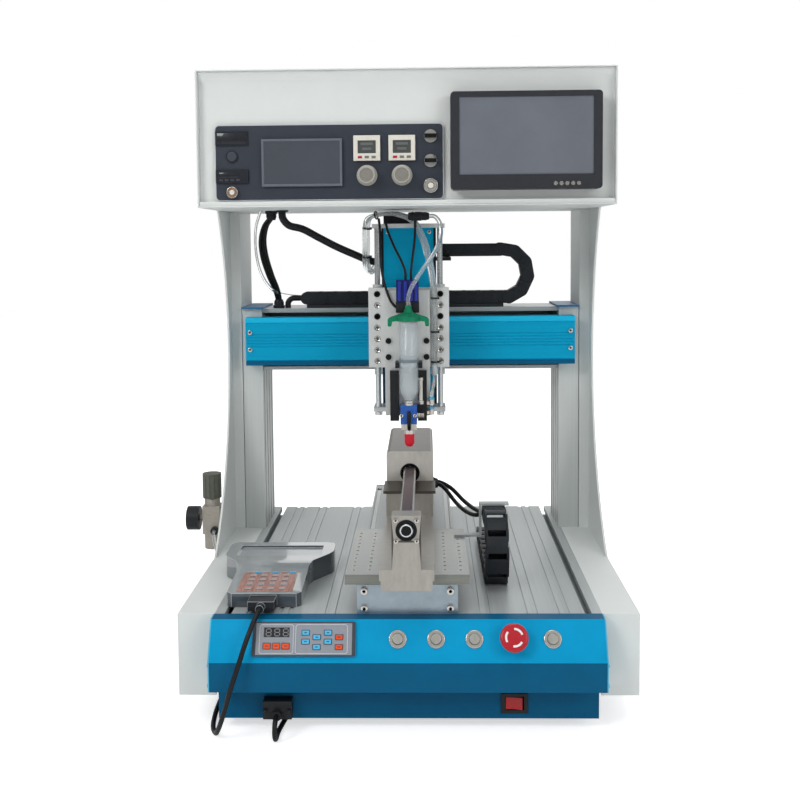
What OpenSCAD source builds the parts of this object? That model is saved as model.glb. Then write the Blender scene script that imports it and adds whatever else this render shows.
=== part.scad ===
/* [Base] */
// Width across the two side covers
frame_w = 550; // [520:1:600]
// Width of the bed between the side covers
bed_w = 460; // [440:1:470]
// Height of the bed top above the floor
bed_z = 140; // [130:1:160]
// Thickness of the extruded bed
bed_t = 20; // [18:1:24]
// Depth of the bed from front to back
bed_len = 512; // [500:1:540]
// Height of the rubber feet
foot_h = 15; // [12:1:18]
// Spacing of the feet across the machine
foot_dx = 380; // [340:2:400]
// Spacing of the feet from front to back
foot_dy = 400; // [360:2:420]
// Sheet thickness of the chassis
chassis_t = 2; // [1.5:0.5:3]
// Sheet thickness of the side covers
cover_t = 3; // [2:0.5:4]

/* [Console] */
// Height of the sloping face of the console
slope_h = 44; // [40:1:48]
// Depth of the sloping face of the console
slope_d = 22; // [18:1:26]
// Depth of the flat strip above the slope
strip_d = 19; // [16:1:22]
// Wall of the console extrusion
console_t = 3; // [2:0.5:4]
// Radius of the push button bezels
bezel_r = 11; // [10:0.5:12]
// Radius of the push button caps
cap_r = 6; // [5:0.5:7]
// Travel of the push buttons
press = 2.5; // [1.5:0.5:3]
// Radius of the emergency stop head
estop_r = 16.5; // [15:0.5:19]

/* [Gantry] */
// Width of the column box of each side cover
col_w = 18; // [16:0.5:20]
// Height of the top of the gantry posts
post_top = 480; // [470:1:490]
// Height of the blue beam cover
xcover_h = 72; // [68:1:76]
// Height of the overhead enclosure
enc_h = 179; // [165:1:190]
// Room between the posts and the enclosure
head_room = 147; // [140:1:160]

/* [Head] */
// Width of the slide plate with two rows of holes
slide_w = 115; // [110:1:120]
// Pitch of the holes in the slide plate
hole_pitch = 16; // [14:0.5:17]
// Radius of the two guide rods
rod_r = 4; // [3:0.5:5]
// Radius of the lead screws
screw_r = 5; // [4:0.25:5.5]
// Outer radius of the syringe barrel
barrel_r = 13.5; // [12.5:0.25:14]

/* [Table] */
// Width of the tooling plate
plate_w = 147; // [140:1:156]
// Length of the tooling plate
plate_l = 200; // [190:1:210]
// Width of the square spindle bar
bar_w = 17; // [15:0.5:18]
// Half width of the headstock
head_hw = 33.5; // [30:0.5:36]

/* [Fit] */
// Clearance round every piece that moves
clear = 0.4; // [0.3:0.05:0.6]
// Gap where one fixed piece seats on another in the same node
seat = 0.05; // [0.02:0.01:0.1]

/* [Hidden] */
$fn = 48;
eps = 0.01;
fw = frame_w / 2;
bw = bed_w / 2;
front = -250;
back = front + bed_len;
cover_z = 40;
foot_hole = 2.75;
slot_x = bw - 16;
chassis_front = front - 7;
bed_bot = bed_z - bed_t;
// Console profile, front to back
con_top_y = front - strip_d;
con_front = con_top_y - slope_d;
con_low = bed_z - slope_h;
con_bot = 61;
slope_a = atan2(slope_h, slope_d);
slope_l = norm([slope_h, slope_d]);
slope_s = slope_l / 2 + 2;
key_h = slope_l - 11;
shank_r = cap_r + 2;
button_x = [-11, 33.5, 78, 168.5];
estop_x = 123;
key_x = -120;
// Gantry
col_x = fw - col_w;
post_x1 = col_x - 1;
post_x0 = post_x1 - 30;
chassis_hw = post_x0;
post_y0 = 131;
post_y1 = 231;
col_y1 = 230;
arc_y = -252;
arc_z = 422.6;
arc_r = 361;
xc_z0 = 396;
xc_z1 = xc_z0 + xcover_h;
xc_y0 = 104;
arm_t = 3;
arm_gap = 1.2;
beam_z0 = xc_z0 - arm_t - 2 * arm_gap;
beam_z1 = xc_z1 + arm_t + 2 * arm_gap;
beam_y0 = 138;
beam_y1 = 226;
beam_t = 5;
xs_y = 185;
xs_z = (xc_z0 + xc_z1) / 2 + 5;
motor_w = 42;
motor_l = 34;
motor_x = -post_x0 + motor_l;
// Enclosure
enc_z = post_top + head_room;
enc_y0 = -83;
enc_y1 = 230;
enc_t = 2;
enc_top = enc_z + enc_h;
pan_y = -72;
ctl_y = pan_y - 4;
lip_h = 6;
ctl_z0 = enc_z + enc_t + lip_h + 1;
ctl_z1 = ctl_z0 + 99;
gauge_x = [-51.5, -5.5];
gauge_z = ctl_z0 + 67;
gauge_w = 27;
knob_z = ctl_z0 + 31.5;
sel_x = 32;
sel_z1 = ctl_z0 + 82;
sel_z2 = ctl_z0 + 50;
pow_z = ctl_z0 + 17.5;
left_x = -229.5;
heat_z = ctl_z0 + 11;
tc_z = ctl_z0 + 32;
hmi_z = ctl_z0 + 49;
mon_z0 = enc_z + 20;
mon_z1 = mon_z0 + 126;
// Head, from back to front
car_y0 = 84;
car_y1 = 96;
zf_x = 52;
zf_z0 = 335;
zf_z1 = enc_z - 21;
zf_t = 6;
zc_y = 57;
zc_hw = 36;
rod_x = 45;
rod_y = 50;
zs_y = 69;
slide_y0 = 30;
slide_y1 = 42;
slide_z0 = 401;
slide_h = 7 * hole_pitch + 2;
slide_z1 = slide_z0 + slide_h;
tool_y = 20;
tip_x = 0;
tip_y = -8;
// Y stage
ym_hw = 60;
ym_h = 35;
ym_z = bed_z + ym_h;
ym_t = 3;
slot_x0 = 50;
slot_x1 = ym_hw - ym_t;
tp_t = 12;
tp_z = ym_z + 3 + tp_t;
tp_y0 = front - 9;
tp_y1 = tp_y0 + plate_l;
ys_x = 26;
ys_z = bed_z + 18;
ycar_y0 = tp_y0 + 60;
ycar_y1 = tp_y1 - 60;
rb_t = 13;
rb_z = tp_z + rb_t;
rb_y0 = -283;
hs_y0 = 21;
hs_y1 = 213;
led_y = -40;
led_z = rb_z + 35;
hs_top = led_z + 43;
sp_z = led_z + 11.5;
sq = 34;
tail_y0 = rb_y0;
tail_y1 = rb_y0 + 24;
// Drag chains
ch_h = 20;
xch_y0 = 140;
xch_y1 = 166;
xch_z = post_top + 5;
xch_r = 36;
xch_bend = 143;
xch_x0 = -158;
ych_x0 = 97;
ych_x1 = 127;
ych_r = 36;
ych_z = bed_z;
ych_front = -130;
ych_fix = 62;
ych_mov = -95;
ych_top = ych_z + 2 * ych_r + ch_h;
xch_low = xch_z + 2 * xch_r;
// Air regulator
rg_x = -fw - 37;
rg_y = 150;
// Pendant
pd_h = 28;
pd_front = -228;
pd_edge = 17;
pd_x = -174.5;

module box(x0, x1, y0, y1, z0, z1) {
    translate([x0, y0, z0]) cube([x1 - x0, y1 - y0, z1 - z0]);
}

module xcyl(r, x0, x1, y, z) {
    translate([x0, y, z]) rotate([0, 90, 0]) cylinder(r = r, h = x1 - x0);
}

module ycyl(r, y0, y1, x, z) {
    translate([x, y1, z]) rotate([90, 0, 0]) cylinder(r = r, h = y1 - y0);
}

module zcyl(r, z0, z1, x, y) {
    translate([x, y, z0]) cylinder(r = r, h = z1 - z0);
}

module along_x(x0, x1) {
    translate([x0, 0, 0]) rotate([90, 0, 90]) linear_extrude(height = x1 - x0) children();
}

module along_y(y0, y1) {
    translate([0, y1, 0]) rotate([90, 0, 0]) linear_extrude(height = y1 - y0) children();
}

module both_sides() {
    children();
    mirror([1, 0, 0]) children();
}

// Local frame on the sloping face, z outward, y up the slope
module on_slope(x, s) {
    translate([x, con_front, con_low]) rotate([slope_a, 0, 0]) translate([0, s, 0]) children();
}

// Local frame on the control plate, z towards the operator
module on_panel(x, z, y = ctl_y) {
    translate([x, y, z]) rotate([90, 0, 0]) children();
}

function unit(v) = v / norm(v);
function tang(p, i) = unit(p[min(i + 1, len(p) - 1)] - p[max(i - 1, 0)]);
function ring(c, t, ref, r, n) = let(u = unit(cross(t, ref)), v = cross(t, u))
    [for (k = [0 : n - 1]) c + r * (cos(360 * k / n) * u + sin(360 * k / n) * v)];

module tube(p, r, ref = [0, 1, 0], n = 8) {
    pts = [for (i = [0 : len(p) - 1]) each ring(p[i], tang(p, i), ref, r, n)];
    side = [for (i = [0 : len(p) - 2]) for (k = [0 : n - 1]) each [
        [i * n + k, (i + 1) * n + k, (i + 1) * n + (k + 1) % n],
        [i * n + k, (i + 1) * n + (k + 1) % n, i * n + (k + 1) % n]]];
    caps = [[for (k = [0 : n - 1]) k], [for (k = [0 : n - 1]) len(p) * n - 1 - k]];
    polyhedron(points = pts, faces = concat(side, caps));
}

module chassis() {
    color("#1b6a93") difference() {
        box(-chassis_hw, chassis_hw, chassis_front, back, foot_h, bed_bot);
        box(-chassis_hw + chassis_t, chassis_hw - chassis_t, chassis_front + chassis_t, back - chassis_t,
            foot_h + chassis_t, bed_bot + 1);
        box(112, 140, chassis_front - 1, chassis_front + chassis_t + 1, 24, 44);
        box(-166, -142, chassis_front - 1, chassis_front + chassis_t + 1, 24, 36);
        for (x = [-1, 1], y = [-1, 1])
            zcyl(foot_hole, foot_h - 1, foot_h + chassis_t + 1, x * foot_dx / 2, y * foot_dy / 2);
        for (k = [0 : 9])
            box(-60 + 14 * k, -54 + 14 * k, back - chassis_t - 1, back + 1, 50, 100);
    }
}

module feet() {
    color("#202224") for (x = [-1, 1], y = [-1, 1]) translate([x * foot_dx / 2, y * foot_dy / 2, 0]) difference() {
        rotate_extrude() polygon([[0, 0], [15, 0], [15, 4], [13, foot_h], [0, foot_h]]);
        translate([0, 0, -1]) cylinder(r = foot_hole, h = foot_h + 2);
    }
}

module bed() {
    color("#b3b8b9") difference() {
        along_y(front, back) difference() {
            translate([-bw, bed_bot]) square([bed_w, bed_t]);
            for (x = [-slot_x, slot_x]) {
                translate([x - 4, bed_z - 10]) square([8, 11]);
                translate([x - 7, bed_z - 14]) square([14, 6]);
            }
            for (x = [-190, -178, -152, -140, -96, -84, 84, 96, 140, 152, 178, 190])
                translate([x - 2.5, bed_z - 1.5]) square([5, 2]);
        }
        both_sides() box(post_x0, bw + 1, post_y0, post_y1, bed_bot - 1, bed_z + 1);
    }
}

module console_2d(t) {
    polygon([[front - t, bed_z - t], [con_top_y + t * 0.6, bed_z - t], [con_front + t, con_low - t * 0.2],
        [con_front + t, con_bot + t], [chassis_front - t, con_bot + t], [chassis_front - t, bed_bot + t],
        [front - t, bed_bot + t]]);
}

module console() {
    color("#0e8bbf") difference() {
        along_x(-bw, bw) console_2d(0);
        along_x(-bw - 1, bw + 1) console_2d(console_t);
        for (x = button_x) on_slope(x, slope_s) translate([0, 0, -8]) cylinder(r = shank_r, h = 10);
        on_slope(estop_x, slope_s) translate([0, 0, -8]) cylinder(r = 11, h = 10);
        on_slope(key_x, slope_s) translate([-54, -13, -8]) cube([108, 26, 10]);
    }
    color("#c4c9cb") both_sides() {
        along_x(bw + seat, bw + 1.5) console_2d(0);
        for (p = [[con_front + 6, con_low - 5], [con_front + 6, con_bot + 6], [chassis_front - 5, bed_bot - 10]])
            xcyl(2.5, bw + 1.5, bw + 3, p[0], p[1]);
    }
}

module keypad() {
    color("#8f939b") on_slope(key_x, slope_s) {
        difference() {
            translate([-60, -key_h / 2, 0]) cube([120, key_h, 3]);
            translate([-47, 2, 2]) cube([30, 11, 2]);
        }
        translate([-53.5, -12.5, -5]) cube([107, 25, 5]);
        for (x = [-43, -32, -21]) translate([x - 4, -11, 3]) cube([8, 6, 0.8]);
        for (p = [[2, 7], [28, 7], [15, 2], [2, -3], [28, -3], [15, -9], [41, 2], [41, -9]])
            translate([p[0] - 4, p[1] - 2.5, 3]) cube([8, 5, 0.8]);
    }
}

module bezels() {
    color("#c9cdd0") {
        for (x = button_x) on_slope(x, slope_s) difference() {
            union() {
                cylinder(r1 = bezel_r, r2 = bezel_r - 1, h = 2);
                translate([0, 0, -9]) cylinder(r = shank_r, h = 9);
            }
            translate([0, 0, -7]) cylinder(r = cap_r + clear, h = 12);
        }
        on_slope(estop_x, slope_s) difference() {
            union() {
                cylinder(r = 14, h = 3);
                translate([0, 0, -9]) cylinder(r = 11, h = 9);
            }
            translate([0, 0, -7]) cylinder(r = 7 + clear, h = 12);
        }
    }
}

module push_cap(k) {
    on_slope(button_x[k], slope_s) translate([0, 0, -7 + press + 0.5]) cylinder(r = cap_r, h = 9 - 0.5);
}

module button_1() {
    color("#b8bdc0") push_cap(0);
}

module button_2() {
    color("#b8bdc0") push_cap(1);
}

module button_3() {
    color("#b8bdc0") push_cap(2);
}

module button_4() {
    color("#b8bdc0") push_cap(3);
}

module estop_head() {
    color("#b3202c") on_slope(estop_x, slope_s) rotate_extrude() polygon([[0, -2], [7, -2], [7, 8], [13, 8],
        [estop_r, 15], [estop_r - 0.5, 16.5], [estop_r - 3, 18], [0, 19]]);
}

module front_ports() {
    color("#2a2c2f") {
        difference() {
            union() {
                box(110, 142, chassis_front - 2, chassis_front, 22, 46);
                box(112.2, 139.8, chassis_front, chassis_front + 18, 24.2, 43.8);
            }
            box(115, 137, chassis_front - 3, chassis_front + 16, 26, 42);
        }
        box(-165.8, -142.2, chassis_front, chassis_front + 8, 24.2, 35.8);
        box(-171, -137, chassis_front - 15, chassis_front, 20, 42);
        ycyl(5, chassis_front - 23, chassis_front - 15, -154, 27.1);
    }
}

module rocker() {
    color("#c01a1e") translate([126, chassis_front + 3, 26.5]) rotate([0, 0, -7]) linear_extrude(height = 15)
        polygon([[-10, -5.5], [0, -4], [10, -5.5], [9.5, 1], [6, 4], [-6, 4], [-9.5, 1]]);
}

module cover_side_2d() {
    translate([front, cover_z]) square([bed_len, bed_z - cover_z]);
    difference() {
        translate([-45, bed_z - 1]) square([col_y1 + 45, enc_z - bed_z + 1]);
        translate([arc_y, arc_z]) circle(r = arc_r, $fn = 96);
    }
}

module one_cover() {
    along_x(fw - cover_t, fw) cover_side_2d();
    box(bw, fw - cover_t + eps, front, post_y0, bed_z - cover_t, bed_z);
    box(bw, fw - cover_t + eps, front, front + cover_t, cover_z, bed_z);
    box(bw, fw - cover_t + eps, back - cover_t, back, cover_z, bed_z);
    box(bw, fw - cover_t + eps, post_y1, back, bed_z - cover_t, bed_z);
    box(col_x, fw - cover_t + eps, post_y0, post_y0 + cover_t, bed_z - cover_t, enc_z);
    box(col_x, col_x + cover_t, post_y0, col_y1, bed_z - cover_t, enc_z);
    box(col_x, fw - cover_t + eps, col_y1 - cover_t, col_y1, bed_z - cover_t, enc_z);
}

module side_covers() {
    color("#d5d9d7") both_sides() one_cover();
}

module post_2d() {
    difference() {
        translate([post_x0, post_y0]) square([post_x1 - post_x0, post_y1 - post_y0]);
        for (k = [0 : 3]) {
            translate([post_x0 - 1, post_y0 + 9 + 25 * k]) square([7, 8]);
            translate([post_x0 + 2, post_y0 + 6 + 25 * k]) square([5, 14]);
        }
        for (y = [post_y0 + 25, post_y1 - 25]) translate([post_x1 - 10, y]) circle(r = 5);
    }
}

module posts() {
    color("#c9cdcc") both_sides() {
        difference() {
            translate([0, 0, 45]) linear_extrude(height = post_top - 45) post_2d();
            xcyl(screw_r + 1.5, post_x0 - 1, post_x0 + 16, xs_y, xs_z);
        }
        box(post_x0 - 3, post_x1, post_y0 - 8, post_y1 + 1, post_top + seat, post_top + 3);
    }
}

module x_beam() {
    color("#aeb3b4") difference() {
        union() {
            along_x(-post_x0, post_x0) difference() {
                translate([beam_y0, beam_z0 - beam_t]) square([beam_y1 - beam_y0, post_top - beam_z0 + beam_t]);
                translate([beam_y0 - 1, beam_z0]) square([beam_y1 - beam_y0 - 7, beam_z1 - beam_z0]);
                for (k = [0 : 2]) translate([beam_y1 - 2, beam_z0 + 14 + 25 * k]) square([3, 8]);
            }
            box(xch_x0, xch_bend, xch_y0, xch_y1, post_top, xch_z);
        }
        for (x = [-180, -60, 60, 180]) zcyl(2.5, beam_z1 - 1, post_top + 1, x, 215);
    }
}

module x_cover_2d() {
    difference() {
        translate([xc_y0, xc_z0]) square([post_y0 - xc_y0, xcover_h]);
        translate([xc_y0 + 4, xc_z0 + 3]) square([post_y0 - xc_y0, xcover_h - 6]);
        for (k = [0 : 4]) translate([xc_y0 - 1, xc_z0 + 28 + 4.5 * k]) square([2, 1.4]);
        translate([xc_y0 - 1, xc_z1 - 8.5]) square([2.5, 1]);
        translate([xc_y0 - 1, xc_z0 + 7]) square([2.5, 1]);
    }
}

module x_cover() {
    color("#0c86b4") {
        along_x(-post_x1 + 9, post_x1 - 9) x_cover_2d();
        both_sides() box(post_x0 + 6, post_x0 + 18, xc_y0 + 4, post_y0, xc_z0 + 3, xc_z1 - 3);
    }
}

module cover_screws() {
    color("#8b9093") {
        both_sides() for (z = [xc_z0 + 24, xc_z0 + 50]) ycyl(3, xc_y0 - 2, xc_y0, post_x0 + 14, z);
        both_sides() for (z = [ym_z - 6, bed_z + 8]) ycyl(4, front - 6, front - 3, ym_hw - 9, z);
    }
}

module rails() {
    color("#9fa5a8") {
        box(-post_x0, post_x0, beam_y1 - 20, beam_y1 - 8, xs_z - 9, xs_z + 9);
        box(-10, 10, front + 15, back - 15, bed_z, bed_z + 12);
    }
}

module x_screw() {
    color("#b9bcbd") xcyl(screw_r, motor_x + 0.5, post_x0 + 15, xs_y, xs_z);
}

module axis_motors() {
    color("#26282b") {
        box(-post_x0, motor_x, xs_y - motor_w / 2, xs_y + motor_w / 2, beam_z0, xs_z + motor_w / 2);
        box(ys_x - 14, ys_x + 14, back - 62, back - 22, bed_z, bed_z + 30);
    }
}

module enclosure() {
    color("#d5d9d7") difference() {
        box(-fw, fw, enc_y0, enc_y1, enc_z, enc_top);
        box(-fw + enc_t, fw - enc_t, enc_y0 - 1, enc_y1 - enc_t, enc_z + enc_t, enc_top - enc_t);
        for (k = [0 : 9])
            box(-60 + 14 * k, -54 + 14 * k, enc_y1 - enc_t - 1, enc_y1 + 1, enc_z + 53, enc_z + 113);
    }
}

module enclosure_panel() {
    z0 = enc_z + enc_t;
    z1 = enc_top - enc_t;
    color("#d0d4d2") difference() {
        along_x(-fw + enc_t, fw - enc_t) polygon([[pan_y - 9, z0], [pan_y - 9, z0 + lip_h], [pan_y, z0 + lip_h],
            [pan_y, z1 - 15], [pan_y - 8, z1], [pan_y - 6, z1], [pan_y + 2, z1 - 14.5], [pan_y + 2, z0 + lip_h - 2],
            [pan_y - 7, z0 + lip_h - 2], [pan_y - 7, z0]]);
        box(-248, 45, pan_y - 1, pan_y + 3, ctl_z0 + 4, ctl_z1 - 4);
        box(75, 235, pan_y - 1, pan_y + 3, mon_z0 + 15, mon_z1 - 15);
    }
}

module control_plate() {
    color("#3b404a") difference() {
        along_y(ctl_y, pan_y) {
            translate([-246, ctl_z0]) square([289, ctl_z1 - ctl_z0]);
            translate([-252, ctl_z0 + 6]) square([301, ctl_z1 - ctl_z0 - 12]);
            for (x = [-246, 43], z = [ctl_z0 + 6, ctl_z1 - 6]) translate([x, z]) circle(r = 6);
        }
        for (x = gauge_x) {
            ycyl(6 + clear, ctl_y - 1, pan_y + 1, x, knob_z);
            box(x - gauge_w / 2 - 0.5, x + gauge_w / 2 + 0.5, ctl_y - 1, pan_y + 1, gauge_z - gauge_w / 2 - 0.5,
                gauge_z + gauge_w / 2 + 0.5);
        }
        for (z = [sel_z1, sel_z2, pow_z]) ycyl(5 + clear, ctl_y - 1, pan_y + 1, sel_x, z);
        ycyl(5 + clear, ctl_y - 1, pan_y + 1, left_x, heat_z);
        box(-187, -87, ctl_y - 1, pan_y + 1, hmi_z - 28, hmi_z + 28);
        box(left_x - 19, left_x + 19, ctl_y - 1, pan_y + 1, tc_z - 6, tc_z + 6);
    }
}

module panel_modules() {
    color("#2b2e33") {
        box(left_x - 21.5, left_x + 21.5, ctl_y - 2, ctl_y, tc_z + 40, tc_z + 59);
        ycyl(8, ctl_y - 2, ctl_y, left_x, tc_z + 26);
        box(left_x - 18.5, left_x + 18.5, ctl_y, pan_y + 40, tc_z - 5.5, tc_z + 5.5);
        box(left_x - 21.5, left_x + 21.5, ctl_y - 3, ctl_y, tc_z - 9, tc_z + 9);
        for (x = gauge_x) {
            difference() {
                box(x - 17.5, x + 17.5, ctl_y - 5, ctl_y, gauge_z - 16.5, gauge_z + 16.5);
                box(x - 12, x + 12, ctl_y - 6, ctl_y - 4, gauge_z - 7, gauge_z + 10);
            }
            box(x - gauge_w / 2, x + gauge_w / 2, ctl_y, pan_y + 30, gauge_z - gauge_w / 2, gauge_z + gauge_w / 2);
        }
    }
}

module touch_screen() {
    color("#1c1f24") {
        difference() {
            box(-190, -84, ctl_y - 5, ctl_y, hmi_z - 31, hmi_z + 31);
            box(-187, -87, ctl_y - 6, ctl_y - 4, hmi_z - 28, hmi_z + 28);
        }
        box(-186.5, -87.5, ctl_y, pan_y + 20, hmi_z - 27.5, hmi_z + 27.5);
    }
}

module reg_knob(k) {
    on_panel(gauge_x[k], knob_z) difference() {
        rotate_extrude() polygon([[0, -12], [6, -12], [6, 1], [13.5, 1], [13.5, 4], [12.5, 5], [11.5, 19], [10.5, 20],
            [0, 20]]);
        for (a = [0 : 11]) rotate([0, 0, 30 * a]) translate([13, 0, 6]) cylinder(r = 1.2, h = 20);
    }
}

module fluid_knob() {
    color("#a9a79e") reg_knob(0);
}

module valve_knob() {
    color("#a9a79e") reg_knob(1);
}

module selector(z) {
    on_panel(sel_x, z) {
        translate([0, 0, 0.5]) cylinder(r = 8.5, h = 2.5);
        translate([-8, -2.5, 3]) cube([16, 5, 7]);
        translate([0, 0, -12]) cylinder(r = 5, h = 12.5);
    }
}

module selector_1() {
    color("#c3c7c9") selector(sel_z1);
}

module selector_2() {
    color("#c3c7c9") selector(sel_z2);
}

module heat_button() {
    color("#b98f6e") on_panel(left_x, heat_z) {
        translate([0, 0, press + 0.4]) cylinder(r = 7.5, h = 3);
        translate([0, 0, -10]) cylinder(r = 5, h = 10 + press + 0.4);
    }
}

module power_button() {
    color("#c3c7c9") on_panel(sel_x, pow_z) {
        translate([0, 0, press + 0.4]) cylinder(r = 9.5, h = 3);
        translate([0, 0, -10]) cylinder(r = 5, h = 10 + press + 0.4);
    }
}

module monitor_2d(x0, x1, z0, z1, r) {
    translate([x0 + r, z0]) square([x1 - x0 - 2 * r, z1 - z0]);
    translate([x0, z0 + r]) square([x1 - x0, z1 - z0 - 2 * r]);
    for (x = [x0 + r, x1 - r], z = [z0 + r, z1 - r]) translate([x, z]) circle(r = r);
}

module monitor() {
    color("#35373c") {
        difference() {
            along_y(pan_y - 22, pan_y) monitor_2d(58, 254, mon_z0, mon_z1, 5);
            box(69, 243, pan_y - 23, pan_y - 20.5, mon_z0 + 19, mon_z1 - 7);
        }
        for (k = [0 : 4]) ycyl(2.6, pan_y - 23, pan_y - 22, 193.5 + 7.5 * k, mon_z0 + 7);
        box(80, 230, pan_y, pan_y + 12, mon_z0 + 23, mon_z1 - 18);
    }
}

module y_module() {
    color("#aab0b1") {
        difference() {
            along_y(front, back) difference() {
                translate([-ym_hw, bed_z]) square([2 * ym_hw, ym_h]);
                translate([-ym_hw + ym_t, bed_z - 1]) square([2 * (ym_hw - ym_t), ym_h - 2]);
                for (x = [-ym_hw, ym_hw], z = [bed_z + 8, bed_z + 20])
                    translate([x - 1, z]) square([2, 5]);
            }
            both_sides() box(slot_x0, slot_x1, front + 15, back - 15, ym_z - 4, ym_z + 1);
        }
        box(-ym_hw, ym_hw, front - 3, front, bed_z, ym_z + 1);
        box(-ym_hw, ym_hw, back, back + 3, bed_z, ym_z + 1);
    }
}

module y_screw() {
    color("#b9bcbd") ycyl(screw_r, front + 4, back - 62.5, ys_x, ys_z);
}

module regulator() {
    color("#8d9293") {
        box(rg_x - 13.5, rg_x + 13.5, rg_y - 13.5, rg_y + 13.5, 128, 172);
        zcyl(13, 104, 128, rg_x, rg_y);
        zcyl(12, 172, 183, rg_x, rg_y);
        zcyl(4, 183, 200, rg_x, rg_y);
        box(rg_x + 13.5, -fw, rg_y - 10, rg_y + 10, 145, 165);
        xcyl(5, rg_x - 20, rg_x - 13.5, rg_y, 151);
        xcyl(18.5, rg_x - 38, rg_x - 20, rg_y, 151);
        ycyl(6, rg_y - 22, rg_y - 13.5, rg_x + 6, 135);
    }
}

module regulator_knob() {
    color("#3c403a") difference() {
        zcyl(14.5, 184, 222, rg_x, rg_y);
        zcyl(4 + clear, 183, 202, rg_x, rg_y);
        for (k = [0 : 11]) translate([rg_x, rg_y, 186]) rotate([0, 0, 30 * k]) translate([14.5, 0, 0])
            cylinder(r = 1, h = 34);
    }
}

module electronics() {
    color("#9aa0a3") {
        box(-200, -80, 60, 230, foot_h + chassis_t, foot_h + chassis_t + 50);
        box(-40, 160, -60, 180, foot_h + chassis_t, foot_h + chassis_t + 42);
    }
}

module x_carriage() {
    color("#bcc0c1") difference() {
        union() {
            box(-38, 38, xs_y - 20, beam_y1 - 10, xs_z - 22, xs_z + 22);
            box(-38, 38, car_y1 - eps, xs_y - 5, xc_z1 + arm_gap, xc_z1 + arm_gap + arm_t);
            box(-38, 38, xs_y - 20, xs_y - 5, xs_z + 20, xc_z1 + arm_gap + arm_t);
            box(-38, 38, car_y1 - eps, xs_y - 5, xc_z0 - arm_gap - arm_t, xc_z0 - arm_gap);
            box(-38, 38, xs_y - 20, xs_y - 5, xc_z0 - arm_gap - arm_t, xs_z - 20);
            box(-zf_x, zf_x, car_y0, car_y1, 384, post_top);
        }
        xcyl(screw_r + clear, -60, 60, xs_y, xs_z);
        box(-60, 60, beam_y1 - 20 - clear, beam_y1, xs_z - 9 - clear, xs_z + 9 + clear);
    }
}

module z_frame() {
    color("#0c86b4") {
        difference() {
            union() {
                along_y(car_y0 - 6, car_y0) translate([-40, zf_z0]) square([80, zf_z1 - zf_z0]);
                box(-zf_x, zf_x, 42, car_y0, zf_z1 - zf_t, zf_z1);
                box(-zf_x, zf_x, 42, car_y0, zf_z0, zf_z0 + zf_t);
                box(-zc_hw, zc_hw, zc_y, zc_y + 3, zf_z0, zf_z1);
            }
            both_sides() zcyl(rod_r, zf_z0 - 1, zf_z1 + 1, rod_x, rod_y);
            zcyl(screw_r + clear, zf_z0 + 2, zf_z1 + 1, 0, zs_y);
        }
        box(-36, 8, 62, 106, zf_z1 + seat, zf_z1 + 14);
        box(36, 62, car_y0, xch_y1, xch_low - 5, xch_low);
        box(36, 40, car_y0, car_y0 + 8, xch_low - 30, xch_low - 5);
    }
}

module z_rods() {
    color("#c8cccd") both_sides() {
        zcyl(rod_r, zf_z0, zf_z1, rod_x, rod_y);
        zcyl(rod_r + 1.5, zf_z0 - 6, zf_z0, rod_x, rod_y);
    }
}

module z_screw() {
    color("#b9bcbd") zcyl(screw_r, zf_z0 + 3, zf_z1 - 0.5, 0, zs_y);
}

module z_slider() {
    color("#c2c6c7") difference() {
        union() {
            box(-slide_w / 2, slide_w / 2, slide_y0, slide_y1, slide_z0, slide_z1);
            both_sides() box(rod_x - 8, rod_x + 8, slide_y1, rod_y + 7, slide_z0 + 5, slide_z1 - 3);
            both_sides() zcyl(rod_r + 3, slide_z1 - 4, slide_z1 + 4, rod_x, rod_y);
            both_sides() box(zc_hw + 1.5, rod_x - 2, slide_y1 - 1, zs_y + 7, 445, 475);
            box(-zc_hw - 2, zc_hw + 2, zc_y + 5, zs_y + 7, 445, 475);
        }
        both_sides() zcyl(rod_r + clear, slide_z0 - 1, slide_z1 + 6, rod_x, rod_y);
        zcyl(screw_r + clear, 440, 480, 0, zs_y);
        both_sides() for (k = [0 : 6]) {
            ycyl(2.2, slide_y0 - 1, slide_y0 + 11, rod_x, slide_z0 + 9 + hole_pitch * k);
            ycyl(4.6, slide_y0 - 1, slide_y0 + 4, rod_x, slide_z0 + 9 + hole_pitch * k);
        }
    }
}

module head_plate() {
    color("#b7bbbc") {
        box(-34, 30, tool_y, slide_y0, 333, 512);
        for (p = [[-29, 440], [-29, 417], [25, 440], [25, 417]]) ycyl(4, tool_y - 3, tool_y, p[0], p[1]);
    }
}

module valve() {
    color("#2f4a9a") {
        box(-27, -14.5, 8, tool_y, 327, 398);
        box(12, 25, 8, tool_y, 327, 398);
        box(-17.5, 15, 1, tool_y, 481, 496);
        box(-17, 14.5, -1, tool_y, 496, 527);
        difference() {
            box(-12, 11, -15, 16, 326, 352);
            zcyl(4.8, 344.5, 353, tip_x, tip_y);
        }
        ycyl(4, 8, tool_y, 0, 338);
        box(-11.5, 10.5, -8, 13, 316, 326);
        zcyl(7, 310, 316, tip_x, 2);
        difference() {
            box(-19, 19, tip_y, tool_y, 404, 412);
            zcyl(barrel_r, 403, 413, tip_x, tip_y);
        }
    }
}

module barrel_adapter() {
    color("#0f7a57") translate([tip_x, tip_y, 0]) {
        difference() {
            union() {
                rotate_extrude() polygon([[0, 470], [barrel_r + 4, 470], [barrel_r + 4, 474], [barrel_r, 478],
                    [6, 480], [6, 486], [4.5, 487], [4.5, 492], [0, 492]]);
                box(-28, 28, -5, 5, 470, 476);
            }
            zcyl(barrel_r + 1, 468, 473, 0, 0);
        }
        both_sides() box(22, 28, -6, 6, 463, 471);
    }
}

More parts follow.
